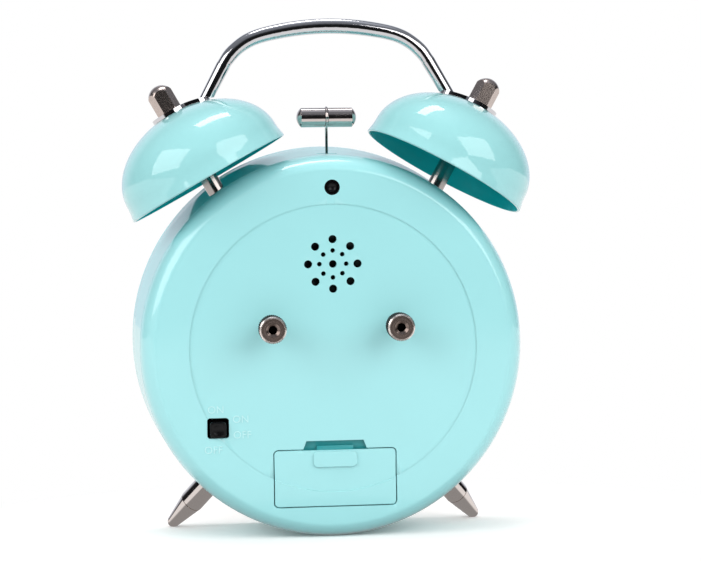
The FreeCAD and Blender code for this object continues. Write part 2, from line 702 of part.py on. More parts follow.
SLIDER_TRAVEL = SLOT_H - SLIDER_H - 2 * MOVE_GAP
SLIDER_Z = SWITCH_Z - SLIDER_TRAVEL / 2


def switch_slider():
    """Slider in its lower position, with a shallow dish in its cap for the fingertip."""
    depth = COVER_INSIDE_Y - SWITCH_BODY[1] / 2
    cap = plate(SLIDER_W, SLIDER_H, 0.8, depth, SLIDER_PROUD, SWITCH_X, SLIDER_Z)
    base_top = COVER_INSIDE_Y - MOVE_GAP
    cap = cap.fuse(plate(SLOT_W - MOVE_GAP, SLIDER_H, 0.8, depth, base_top, SWITCH_X, SLIDER_Z))
    dish_r = SLIDER_H
    dish = Part.makeSphere(dish_r, V(SWITCH_X, SLIDER_PROUD + dish_r - SLIDER_DISH, SLIDER_Z))
    return cap.cut(dish)


def switch_body():
    width, depth, height = SWITCH_BODY
    top = COVER_INSIDE_Y - SEAT_GAP
    body = plate(width, height, 0.6, top - depth, top, SWITCH_X, SWITCH_Z)
    pocket = plate(SLOT_W, SLOT_H, 0.8, top - depth / 2 - MOVE_GAP, top + 1, SWITCH_X, SWITCH_Z)
    return body.cut(pocket)


LIGHT_BORE_R = LIGHT_HOLE_R - SEAT_GAP - LIGHT_BUSH_WALL
LIGHT_BUTTON_R = LIGHT_BORE_R - RUN_GAP


def light_bush():
    bush = tube(LIGHT_HOLE_R - SEAT_GAP, LIGHT_BORE_R, COVER_INSIDE_Y, 0.2 - STEP_DEPTH)
    return on_drum(bush).translated(V(0, 0, LIGHT_Z))


def light_button():
    """Plunger with a dished middle."""
    face = -STEP_DEPTH - 0.2
    edge = 0.2
    dish_r = LIGHT_BUTTON_R * 0.7
    dish_depth = dish_r * 0.4
    middle_r, drop = cap_middle(dish_r, dish_depth)
    rear = COVER_INSIDE_Y - LIGHT_BODY[1] / 2
    plunger = turned((0, rear), (LIGHT_BUTTON_R, rear), (LIGHT_BUTTON_R, face - edge),
                     (LIGHT_BUTTON_R - edge, face), (dish_r, face),
                     ((middle_r, face - dish_depth + drop), (0, face - dish_depth)))
    return on_drum(plunger).translated(V(0, 0, LIGHT_Z))


def light_switch():
    width, depth, height = LIGHT_BODY
    top = COVER_INSIDE_Y - SEAT_GAP
    body = plate(width, height, 0.6, top - depth, top, 0, LIGHT_Z)
    bore = rod(LIGHT_BORE_R, top - depth / 2 - LIGHT_TRAVEL - MOVE_GAP, top + 1)
    return body.cut(on_drum(bore).translated(V(0, 0, LIGHT_Z)))


def buzzer_cup():
    top = COVER_INSIDE_Y - SEAT_GAP
    floor = top - BUZZER_DEPTH
    cup = rod(BUZZER_R, floor, top).cut(rod(BUZZER_R - BUZZER_WALL, floor + BUZZER_WALL, top + 1))
    return on_drum(cup).translated(V(0, 0, SOUND_Z))


def buzzer_diaphragm():
    """Shallow black cone that rests inside the cup, behind the sound holes."""
    outer = BUZZER_R - BUZZER_WALL - SEAT_GAP
    top = COVER_INSIDE_Y - SEAT_GAP - DIAPHRAGM_DROP
    floor = top - BUZZER_DEPTH / 2
    under = top - DIAPHRAGM_T
    cone = turned((0, floor), (outer / 4, floor), (outer * 0.8, under), (outer, under), (outer, top),
                  (outer * 0.75, top), (outer / 4, floor + DIAPHRAGM_T), (0, floor + DIAPHRAGM_T))
    ring_low = COVER_INSIDE_Y - SEAT_GAP - BUZZER_DEPTH + BUZZER_WALL
    rest = tube(outer, outer - DIAPHRAGM_T, ring_low, under)
    return on_drum(cone.fuse(rest)).translated(V(0, 0, SOUND_Z))


# ================================================================ bells
BELL_TURN = math.radians(BELL_TILT)


def at_bell(solid, side):
    """Put a piece made about Z, with the rim plane at 0, on the bell's axis on one side."""
    solid = solid.copy()
    solid.rotate(V(0, 0, 0), V(0, 1, 0), side * BELL_TILT)
    solid.translate(V(side * BELL_X, BELL_Y, BELL_Z))
    solid = nodded(solid)
    solid.translate(V(0, 0, -side * BELL_SAG))
    return solid


def nodded(solid):
    """Tip a placed bell or handle forwards about the line through the middles of the rims."""
    solid.rotate(V(0, BELL_Y, BELL_Z), V(1, 0, 0), BELL_NOD)
    return solid


def bell_curve(inset):
    """Rim point, end of the skirt, dome radii and dome base of the bell, moved inwards by inset."""
    flare = math.radians(BELL_FLARE)
    rim_r = BELL_RIM_R - inset / math.cos(flare)
    bend = BELL_FLARE_R * math.sin(flare)
    straight = (BELL_SKIRT - bend) * math.tan(flare)
    dome_r = BELL_RIM_R - straight - BELL_FLARE_R * (1 - math.cos(flare))
    centre = (dome_r + BELL_FLARE_R, BELL_SKIRT)
    reach = BELL_FLARE_R + inset
    foot = on_arc(centre, reach, 180 + BELL_FLARE)
    middle = on_arc(centre, reach, 180 + BELL_FLARE / 2)
    full_rise = (BELL_HEIGHT - BELL_SKIRT) / math.sqrt(1 - (BELL_SEAT_R / dome_r) ** 2)
    return rim_r, foot, middle, dome_r - inset, full_rise - inset


def bell_side(inset, crown):
    """Edges from the rim to the crown's flat seat, and the radius where the seat starts."""
    rim_r, foot, middle, dome_r, rise = bell_curve(inset)
    edges = edges_through((rim_r, 0), [foot, (middle, (dome_r, BELL_SKIRT))])
    seat_r = dome_r * math.sqrt(1 - ((crown - BELL_SKIRT) / rise) ** 2)
    ellipse = Part.Ellipse(point(dome_r, BELL_SKIRT), point(0, BELL_SKIRT + rise), point(0, BELL_SKIRT))
    end = math.acos(seat_r / dome_r)
    edges.append(Part.ArcOfEllipse(ellipse, 0, end).toShape())
    return edges, rim_r, seat_r


def bell_shell(outside, inside):
    """Solid between two copies of the bell's curve, moved inwards (or outwards, if below 0)."""
    outer, outer_rim, outer_seat = bell_side(outside, BELL_HEIGHT - outside)
    inner, inner_rim, inner_seat = bell_side(inside, BELL_HEIGHT - inside)
    hole = STUD_R + SEAT_GAP
    top = edges_through((outer_seat, BELL_HEIGHT - outside), [
        (hole, BELL_HEIGHT - outside), (hole, BELL_HEIGHT - inside), (inner_seat, BELL_HEIGHT - inside)])
    rim = edges_through((outer_rim, 0), [(inner_rim, 0)])
    return revolved(Part.__sortEdges__(outer + top + inner + rim))


def bell_dome():
    dome = bell_shell(0, BELL_WALL)
    rim_edges = [e for e in dome.Edges if e.BoundBox.ZMax < 0.01 and e.BoundBox.ZMin > -0.01]
    return dome.makeFillet(BELL_WALL * 0.35, rim_edges)


def bell_middle(side):
    return V(side * BELL_X, BELL_Y, BELL_Z - side * BELL_SAG)


def bell_axis(side):
    nod = math.radians(BELL_NOD)
    up = math.cos(BELL_TURN)
    return V(side * math.sin(BELL_TURN), -up * math.sin(nod), up * math.cos(nod))


def drum_below_bell(side):
    """Height along the bell's axis, below its rim, where the axis meets the drum."""
    return distance_to_drum(bell_middle(side), bell_axis(side), 0)


def bell_sleeve(side):
    low = drum_below_bell(side) - SLEEVE_R
    sleeve = tube(SLEEVE_R, STUD_R + SEAT_GAP, low, BELL_HEIGHT - BELL_WALL - SEAT_GAP)
    return at_bell(sleeve, side).cut(drum_core(-SEAT_GAP))


def washer_seat(axis_base, axis):
    """Height of a coped washer's flat face on an axis that meets the drum's wall at a slant."""
    surface = distance_to_drum(axis_base, axis, DRUM_WALL)
    spot = axis_base + axis * surface
    square = V(spot.x, 0, spot.z).normalize()
    return surface - WASHER_R * math.tan(axis.getAngle(square)) - WASHER_MIN_T


def bell_seat(side):
    return washer_seat(bell_middle(side), bell_axis(side))


def foot_seat(side=1):
    return washer_seat(foot_base(side), foot_axis(side))


STUD_END = INNER_NUT_T + 1.0    # from a washer's face to the inner end of a stud


def bell_stud(side):
    low = bell_seat(side) - STUD_END
    return at_bell(rod(STUD_R, low, BELL_HEIGHT + TAB_T + CAP_NUT_LENGTH / 2), side)


def coped_washer(place, side, seat):
    washer = tube(WASHER_R, STUD_R + SEAT_GAP, seat, seat + 3 * WASHER_R)
    return place(washer, side).common(drum_core(DRUM_WALL + SEAT_GAP))


def inner_nut(place, side, seat):
    top = seat - SEAT_GAP
    nut = hex_prism(INNER_NUT_FLATS, top - INNER_NUT_T, top)
    return place(nut.cut(rod(STUD_R + SEAT_GAP, top - 2 * INNER_NUT_T, top + 1)), side)


def inner_washers():
    pieces = []
    for side in (-1, 1):
        pieces.append(coped_washer(at_bell, side, bell_seat(side)))
        pieces.append(coped_washer(at_foot, side, foot_seat(side)))
    return Part.makeCompound(pieces)


def inner_nuts():
    pieces = []
    for side in (-1, 1):
        pieces.append(inner_nut(at_bell, side, bell_seat(side)))
        pieces.append(inner_nut(at_foot, side, foot_seat(side)))
    return Part.makeCompound(pieces)


def cap_nut():
    """Long hexagonal nut with a domed end and a blind hole, standing on the handle's tab."""
    low = BELL_HEIGHT + TAB_T + 2 * SEAT_GAP
    high = low + CAP_NUT_LENGTH
    corner = CAP_NUT_FLATS / math.sqrt(3)
    cap = corner * 0.7
    middle_r, drop = cap_middle(corner, cap)
    dome = turned((0, low), (corner - 0.3, low), (corner, low + 0.3), (corner, high - cap),
                  ((middle_r, high - drop), (0, high)))
    nut = hex_prism(CAP_NUT_FLATS, low, high).common(dome)
    return nut.cut(rod(STUD_R + SEAT_GAP, low - 1, low + CAP_NUT_LENGTH / 2))


def cap_nuts():
    return Part.makeCompound([at_bell(cap_nut(), side) for side in (-1, 1)])


# ================================================================ handle
def leg_end():
    """Where a leg's centre line meets the middle of the tab, before the nod, as (x, z)."""
    _, _, _, dome_r, rise = bell_curve(-SEAT_GAP - TAB_T / 2)
    height = BELL_SKIRT + rise * math.sqrt(1 - (TAB_REACH / dome_r) ** 2)
    along, up = math.cos(BELL_TURN), math.sin(BELL_TURN)
    return BELL_X - TAB_REACH * along + height * up, BELL_Z + TAB_REACH * up + height * along


def leg_length():
    """Length of a leg's straight part, from the shoulder to where it meets the tab."""
    arch, leg = math.radians(HANDLE_ARCH_DEG), math.radians(HANDLE_LEG_DEG)
    shoulder_x = ((HANDLE_ARCH_R - HANDLE_SHOULDER_R) * math.sin(arch)
                  + HANDLE_SHOULDER_R * math.sin(leg))
    return (leg_end()[0] - shoulder_x) / math.cos(leg)


def handle_stations():
    """Centre line of one half's arch and shoulder, from the top down: (x, z, slope below level)."""
    length, leg = leg_length(), math.radians(HANDLE_LEG_DEG)
    shoulder_x, shoulder_z = leg_end()[0] - length * math.cos(leg), leg_end()[1] + length * math.sin(leg)
    shoulder_centre = on_arc((shoulder_x, shoulder_z), HANDLE_SHOULDER_R, -90 - HANDLE_LEG_DEG)
    arch_centre = on_arc(shoulder_centre, HANDLE_ARCH_R - HANDLE_SHOULDER_R, -90 - HANDLE_ARCH_DEG)
    stations = []
    for i in range(5):
        slope = HANDLE_ARCH_DEG * i / 5
        stations.append((*on_arc(arch_centre, HANDLE_ARCH_R, 90 - slope), slope))
    for i in range(6):
        slope = HANDLE_ARCH_DEG + (HANDLE_LEG_DEG - HANDLE_ARCH_DEG) * i / 5
        stations.append((*on_arc(shoulder_centre, HANDLE_SHOULDER_R, 90 - slope), slope))
    return stations


def handle_section(x, z, slope, radius):
    circle = Part.Circle(V(0, 0, 0), V(1, 0, 0), radius).toShape()
    circle.rotate(V(0, 0, 0), V(0, 1, 0), slope)
    return Part.Wire(circle.translated(V(x, BELL_Y, z)))


def handle_leg():
    """Tapered leg at +X, run on a little way past the tab, where it's cut off along the bell."""
    length, leg = leg_length(), math.radians(HANDLE_LEG_DEG)
    x, z = leg_end()
    top = V(x - length * math.cos(leg), BELL_Y, z + length * math.sin(leg))
    down = V(math.cos(leg), 0, -math.sin(leg))
    taper = (HANDLE_SHOULDER_END_R - HANDLE_LEG_R) / length
    run_on = 2 * HANDLE_LEG_R
    return Part.makeCone(HANDLE_SHOULDER_END_R, HANDLE_LEG_R - taper * run_on, length + run_on, top, down)


HANDLE_SHOULDER_END_R = (HANDLE_GRIP_R + HANDLE_LEG_R) / 2


def handle_tab():
    """Strip pressed to the bell's dome, from round the stud to the leg, in the bell's frame."""
    shell = bell_shell(-SEAT_GAP - TAB_T, -SEAT_GAP)
    high = 2 * BELL_HEIGHT
    half = TAB_R * TAB_NECK
    end = TAB_REACH + HANDLE_LEG_R * 0.8
    outline = rod(TAB_R, 0, high).fuse([block(-end + half, 0, -half, half, 0, high),
                                        moved(rod(half, 0, high), -end + half, 0, 0)])
    return shell.common(outline)


def half_turn(solid, y):
    """The same piece on the other side, turned about the upright line through (0, y)."""
    solid = solid.copy()
    solid.rotate(V(0, y, 0), V(0, 0, 1), 180)
    return solid


def handle():
    """Bow of the handle with its legs, turned with the line between the bells, and the two tabs."""
    half = handle_stations()
    bend_x = half[-1][0]
    stations = [(-x, z, -slope) for x, z, slope in reversed(half[1:])] + half
    sections = [handle_section(x, z, slope, HANDLE_GRIP_R + (HANDLE_SHOULDER_END_R - HANDLE_GRIP_R)
                               * (x / bend_x) ** 2) for x, z, slope in stations]
    bow = upright(Part.makeLoft(sections, True, False))
    leg = handle_leg()
    bow = nodded(bow.fuse([leg, half_turn(leg, BELL_Y)]))
    end_x, end_z = leg_end()
    sag_turn = math.degrees(math.asin(BELL_SAG / end_x))
    bow.rotate(V(0, BELL_Y, end_z), V(0, 1, 0), sag_turn)
    bow.translate(V(HANDLE_SHIFT, 0, 0))
    below = bell_shell(-SEAT_GAP - TAB_T / 2, BELL_HEIGHT / 2)
    for side in (-1, 1):
        bow = bow.cut(at_bell(below, side))
    tab = handle_tab()
    return bow.fuse([at_bell(tab, 1), at_bell(half_turn(tab, 0), -1)])


# ================================================================ hammer
def hammer_head():
    """Round bar across the wire, with domed ends and a groove for the wire's loop."""
    half = HEAD_LENGTH / 2
    straight = half - HEAD_END
    middle_r, drop = cap_middle(HEAD_R, HEAD_END)
    head = turned((0, -half), ((middle_r, drop - half), (HEAD_R, -straight)),
                  (HEAD_R, straight), ((middle_r, half - drop), (0, half)))
    groove = Part.makeTorus(HEAD_R, WIRE_R + SEAT_GAP)
    return along_x(head.cut(groove)).translated(V(0, BELL_Y, HEAD_Z))


def hammer_wire():
    """Wire that is looped round the head and runs down into the lever."""
    loop = along_x(Part.makeTorus(HEAD_R, WIRE_R)).translated(V(0, BELL_Y, HEAD_Z))
    low = PIVOT_Z + LEVER_W / 2 - 0.6
    shank = Part.makeCylinder(WIRE_R, HEAD_Z - HEAD_R - low, V(0, BELL_Y, low))
    return loop.fuse(shank)


def along_drum(solid):
    """Lay a piece made about Z along the drum's axis, centred on the hammer's plane."""
    return on_drum(solid).translated(V(0, BELL_Y, 0))


def hammer_lever():
    """Flat lever on the pivot, with a hole for the wire and a tail that carries the armature."""
    tail_z = PIVOT_Z - LEVER_TAIL
    eye = along_drum(rod(LEVER_W / 2, -LEVER_T / 2, LEVER_T / 2)).translated(V(0, 0, PIVOT_Z))
    bar = block(-LEVER_W / 3, LEVER_W / 3, BELL_Y - LEVER_T / 2, BELL_Y + LEVER_T / 2,
                tail_z + ARMATURE_H, PIVOT_Z + LEVER_W / 2)
    hole = along_drum(rod(PIVOT_R + RUN_GAP, -LEVER_T, LEVER_T)).translated(V(0, 0, PIVOT_Z))
    socket = Part.makeCylinder(WIRE_R + SEAT_GAP, LEVER_W, V(0, BELL_Y, PIVOT_Z + LEVER_W / 2 - 0.65))
    return eye.fuse(bar).cut([hole, socket])


def armature():
    """Iron block on the lever's tail, narrow enough to swing between the bracket's ears."""
    tail_z = PIVOT_Z - LEVER_TAIL
    half = EAR_GAP / 2 - MOVE_GAP
    return block(-ARMATURE_W / 2, ARMATURE_W / 2, BELL_Y - half, BELL_Y + half,
                 tail_z, tail_z + ARMATURE_H - SEAT_GAP)


def hammer_pin():
    half = EAR_GAP / 2 + EAR_T + 0.6
    return along_drum(rod(PIVOT_R, -half, half)).translated(V(0, 0, PIVOT_Z))


CORE_Z = PIVOT_Z - LEVER_TAIL + ARMATURE_H / 2
CORE_X = ARMATURE_W / 2 + LEVER_TAIL * math.sin(math.radians(HAMMER_SWING)) + 2 * MOVE_GAP
YOKE_X = CORE_X + COIL_LENGTH + 2 * COIL_END_GAP


def hammer_bracket():
    """Bent steel bracket on top of the movement: a base, two ears for the pin and a yoke for the core."""
    base_z = MOVEMENT_TOP + SEAT_GAP
    ear_w = 3 * PIVOT_R + 2
    low_y, high_y = BELL_Y - EAR_GAP / 2 - EAR_T, BELL_Y + EAR_GAP / 2 + EAR_T
    base = block(-ear_w, YOKE_X + EAR_T, MOVEMENT_SPLIT, MOVEMENT_REAR, base_z, base_z + EAR_T)
    bridge = block(-ear_w / 2, ear_w / 2, low_y, high_y, base_z, base_z + EAR_T)
    bracket = base.fuse(bridge)
    for near, far in ((low_y, low_y + EAR_T), (high_y - EAR_T, high_y)):
        ear = block(-ear_w / 2, ear_w / 2, near, far, base_z, PIVOT_Z)
        top = on_drum(rod(ear_w / 2, near, far)).translated(V(0, 0, PIVOT_Z))
        bracket = bracket.fuse([ear, top])
    yoke = block(YOKE_X, YOKE_X + EAR_T, BELL_Y - COIL_R, BELL_Y + COIL_R, base_z, CORE_Z + COIL_R)
    foot = block(YOKE_X - 2, YOKE_X + EAR_T, BELL_Y - COIL_R, BELL_Y, base_z, base_z + EAR_T)
    bracket = bracket.fuse([yoke, foot])
    hole = along_drum(rod(PIVOT_R + SEAT_GAP, -EAR_GAP * 2, EAR_GAP * 2)).translated(V(0, 0, PIVOT_Z))
    core_hole = along_x(rod(CORE_R + SEAT_GAP, CORE_X, YOKE_X + 5)).translated(V(0, BELL_Y, CORE_Z))
    return bracket.cut([hole, core_hole])


def coil_core():
    return along_x(rod(CORE_R, CORE_X, YOKE_X + EAR_T)).translated(V(0, BELL_Y, CORE_Z))


def hammer_coil():
    """Copper winding on a bobbin with two cheeks."""
    low = CORE_X + COIL_END_GAP
    high = YOKE_X - SEAT_GAP
    bore = CORE_R + SEAT_GAP
    waist = COIL_R - COIL_WAIST
    coil = turned((bore, low), (COIL_R, low), (COIL_R, low + COIL_CHEEK), (waist, low + COIL_CHEEK),
                  (waist, high - COIL_CHEEK), (COIL_R, high - COIL_CHEEK), (COIL_R, high), (bore, high))
    return along_x(coil).translated(V(0, BELL_Y, CORE_Z))


# ================================================================ feet
def foot_axis(side):
    round_drum, forward = math.radians(FOOT_DEG), math.radians(FOOT_SPLAY)
    return V(side * math.cos(forward) * math.sin(round_drum), -math.sin(forward),
             -math.cos(forward) * math.cos(round_drum))


def foot_base(side):
    radius = drum_radius(FOOT_Y)
    angle = math.radians(FOOT_DEG)
    return V(side * radius * math.sin(angle), FOOT_Y, -radius * math.cos(angle))


def at_foot(solid, side):
    """Put a piece made about Z, with the drum's surface at 0, on a foot's axis."""
    turn = FreeCAD.Rotation(V(0, 0, 1), foot_axis(side))
    placed = solid.copy()
    placed.Placement = FreeCAD.Placement(foot_base(side), turn).multiply(placed.Placement)
    return placed


def foot(side):
    """Turned foot: collar, groove, cone with a round tip, and a threaded shank into the drum."""
    tip_z = FOOT_LENGTH - FOOT_TIP_R
    groove_r = FOOT_R - 0.35
    cone_from = FOOT_COLLAR + FOOT_GROOVE
    lean = math.degrees(math.atan2(FOOT_R - 0.1 - FOOT_TIP_R, tip_z - cone_from))
    tangent = on_arc((0, tip_z), FOOT_TIP_R, lean)
    round_tip = on_arc((0, tip_z), FOOT_TIP_R, (lean + 90) / 2)
    body = turned((0, -FOOT_R), (FOOT_R, -FOOT_R), (FOOT_R, FOOT_COLLAR), (groove_r, FOOT_COLLAR),
                  (groove_r, cone_from), (FOOT_R - 0.1, cone_from), tangent,
                  (round_tip, (0, FOOT_LENGTH)))
    body = at_foot(body, side).cut([drum_core(-SEAT_GAP), floor_block()])
    return body.fuse(at_foot(rod(STUD_R, foot_seat() - STUD_END, FOOT_R), side))


# ================================================================ how the clock stands
def foot_low_point():
    """Centre of the round tip of a foot, as (y, z)."""
    tip = foot_base(1) + foot_axis(1) * (FOOT_LENGTH - FOOT_TIP_R)
    return tip.y, tip.z


def lean_angle():
    """Backward lean, in radians, that sets the rear edge and both ground tips on one plane."""
    tip_y, tip_z = foot_low_point()
    edge_y, edge_z = -COVER_EDGE_R, -(COVER_R - COVER_EDGE_R)
    run, drop = edge_y - tip_y, tip_z - edge_z
    rise = (FOOT_TIP_R - FOOT_FLAT) - COVER_EDGE_R
    return math.asin(rise / math.hypot(run, drop)) + math.atan2(-drop, run)


def floor_block():
    """Everything below the plane that the clock stands on, in the drum's frame."""
    lean = lean_angle()
    tip_y, tip_z = foot_low_point()
    depth = FOOT_TIP_R - FOOT_FLAT
    normal = V(0, math.sin(lean), -math.cos(lean))
    reach = 2 * DRUM_FRONT_R
    under = Part.makeBox(2 * reach, 2 * reach, FOOT_LENGTH, V(-reach, -reach, 0))
    under.Placement = FreeCAD.Placement(V(0, tip_y, tip_z) + normal * depth,
                                        FreeCAD.Rotation(V(0, 0, 1), normal))
    return under


def build():
    parts = {
        "case_drum": case_drum(),
        "front_bezel": front_bezel(),
        "lens": lens(),
        "spacer_ring": spacer_ring(),
        "dial": dial(),
        "inner_frame": inner_frame(),
        "dial_lamp": dial_lamp(),
        "movement_case": movement_case(),
        "movement_lid": movement_lid(),
        "alarm_hand": hand(0, ALARM_HAND, ALARM_R, 180),
        "alarm_tube": arbor(0, ALARM_R),
        "hour_hand": hand(1, HOUR_HAND, HOUR_R, -54),
        "hour_tube": arbor(1, HOUR_R),
        "minute_hand": hand(2, MINUTE_HAND, MINUTE_R, 60),
        "minute_tube": arbor(2, MINUTE_R),
        "second_hand": hand(3, SECOND_HAND, SECOND_R, 180),
        "second_pin": arbor(3, SECOND_R),
        "rear_cover": rear_cover(),
        "battery_door": battery_door(),
        "battery_tray": battery_tray(),
        "battery_cell": battery_cell(),
        "contact_plate": contact_plate(1),
        "contact_spring": contact_spring(),
        "time_knob": placed_knob(-1),
        "time_stem": stem(-1),
        "alarm_knob": placed_knob(1),
        "alarm_stem": stem(1),
        "switch_slider": switch_slider(),
        "switch_body": switch_body(),
        "light_bush": light_bush(),
        "light_button": light_button(),
        "light_switch": light_switch(),
        "buzzer_cup": buzzer_cup(),
        "buzzer_diaphragm": buzzer_diaphragm(),
        "inner_washers": inner_washers(),
        "inner_nuts": inner_nuts(),
        "cap_nuts": cap_nuts(),
        "handle": handle(),
        "hammer_head": hammer_head(),
        "hammer_wire": hammer_wire(),
        "hammer_lever": hammer_lever(),
        "armature": armature(),
        "hammer_pin": hammer_pin(),
        "hammer_bracket": hammer_bracket(),
        "coil_core": coil_core(),
        "hammer_coil": hammer_coil(),
    }
    for side, name in ((-1, "right"), (1, "left")):
        parts["bell_" + name] = at_bell(bell_dome(), side)
        parts["bell_sleeve_" + name] = bell_sleeve(side)
        parts["bell_stud_" + name] = bell_stud(side)
        parts["foot_" + name] = foot(side)
    return parts


def standing(parts):
    """Placement that leans the clock back and puts the middle of its footprint box at the origin."""
    turn = FreeCAD.Rotation(V(1, 0, 0), -math.degrees(lean_angle()))
    whole = Part.makeCompound(list(parts.values()))
    whole.Placement = FreeCAD.Placement(V(0, 0, 0), turn)
    box = whole.optimalBoundingBox(False, False)
    shift = V(0, -(box.YMin + box.YMax) / 2, -box.ZMin)
    return FreeCAD.Placement(shift, turn)


def main():
    parts = build()
    place = standing(parts)
    os.makedirs("parts", exist_ok=True)
    for name, shape in parts.items():
        solid = Part.makeCompound(shape.Solids) if len(shape.Solids) > 1 else shape.Solids[0]
        solid = solid.copy()
        solid.Placement = place.multiply(solid.Placement)
        solid.exportStep("parts/" + name + ".step")


if __name__ == "__main__":
    main()
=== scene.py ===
import bmesh
import bpy
import json
import math
from mathutils import Matrix, Vector


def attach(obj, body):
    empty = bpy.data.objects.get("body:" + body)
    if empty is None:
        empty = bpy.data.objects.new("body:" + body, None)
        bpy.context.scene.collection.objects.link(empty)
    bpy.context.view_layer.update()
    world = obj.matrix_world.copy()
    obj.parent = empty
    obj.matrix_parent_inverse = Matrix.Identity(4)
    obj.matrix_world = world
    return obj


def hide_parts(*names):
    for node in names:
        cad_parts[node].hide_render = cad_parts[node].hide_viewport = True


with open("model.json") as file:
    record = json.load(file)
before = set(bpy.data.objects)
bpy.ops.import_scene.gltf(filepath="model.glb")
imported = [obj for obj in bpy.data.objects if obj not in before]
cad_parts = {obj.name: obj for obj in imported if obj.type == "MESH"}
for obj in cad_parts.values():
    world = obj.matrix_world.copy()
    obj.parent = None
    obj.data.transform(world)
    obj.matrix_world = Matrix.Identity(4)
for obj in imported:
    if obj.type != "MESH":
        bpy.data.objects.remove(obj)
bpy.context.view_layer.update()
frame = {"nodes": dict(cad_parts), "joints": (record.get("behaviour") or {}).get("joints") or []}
MM = 0.001

# ------------------------------------------------------------------ where the drum sits
# The hands turn on the drum's axis, so their joint gives its middle line and how far it leans back.
turn = next(j for j in frame["joints"] if j["name"] == "minute_hand_turn")
AXIS = Vector(turn["axis"]).normalized()
DIAL_FACE = Vector(turn["pos_m"])
DIAL_DEPTH = 36.5 * MM          # from the cover's flat face forwards to the dial's face
ACROSS = Vector((1, 0, 0))
UPRIGHT = ACROSS.cross(AXIS)
REAR_FACE = DIAL_FACE + AXIS * DIAL_DEPTH


def along(x, y, z):
    """Direction, or offset in metres, given as across, out of the rear, and up the drum."""
    return ACROSS * x + AXIS * y + UPRIGHT * z


def on_drum(x, y, z):
    """Point given in mm from the middle of the rear face: across, out of the rear, and up."""
    return REAR_FACE + along(x, y, z) * MM


def laid(origin, right, up, out):
    """Matrix that lays a flat piece's x, y and z along three directions from an origin."""
    return Matrix.Translation(origin) @ Matrix((right, up, out)).transposed().to_4x4()


TO_DRUM = Matrix.Scale(1 / MM, 4) @ laid(REAR_FACE, ACROSS, AXIS, UPRIGHT).inverted()
ON_DIAL = laid(DIAL_FACE, ACROSS, UPRIGHT, -AXIS)
ON_REAR = laid(REAR_FACE, -ACROSS, UPRIGHT, AXIS)


# ------------------------------------------------------------------ nodes and colours
def linear(text, alpha=1.0):
    """Hex sRGB colour as linear RGBA."""
    channels = [int(text[i:i + 2], 16) / 255 for i in (1, 3, 5)]
    return [c / 12.92 if c <= 0.04045 else ((c + 0.055) / 1.055) ** 2.4
            for c in channels] + [alpha]


def put(tree, kind, inputs=None, **settings):
    """Add a node: settings are its properties, inputs are values or other nodes' sockets."""
    made = tree.nodes.new(kind)
    for name, value in settings.items():
        setattr(made, name, value)
    for name, value in (inputs or {}).items():
        if isinstance(value, bpy.types.NodeSocket):
            tree.links.new(value, made.inputs[name])
        else:
            made.inputs[name].default_value = value
    return made


def maths(tree, operation, *values, **settings):
    """Output of one arithmetic node on values or sockets."""
    return put(tree, "ShaderNodeMath", dict(enumerate(values)),
               operation=operation, **settings).outputs[0]


def mapped(tree, value, source, target=(0.0, 1.0), **settings):
    """Output of a node that maps a value from one range onto another."""
    return put(tree, "ShaderNodeMapRange",
               {"Value": value, "From Min": source[0], "From Max": source[1],
                "To Min": target[0], "To Max": target[1]}, **settings).outputs[0]


def split(tree, vector):
    """The x, y and z sockets of a vector."""
    return put(tree, "ShaderNodeSeparateXYZ", {0: vector}).outputs


def held(shader, name):
    """What feeds a socket now: the linked socket, or its own value."""
    socket = shader.inputs[name]
    if socket.is_linked:
        return socket.links[0].from_socket
    value = socket.default_value
    return value[:] if hasattr(value, "__len__") else value


NOISE_SPAN = (0.3, 0.7)         # nearly all values of a noise lie between these


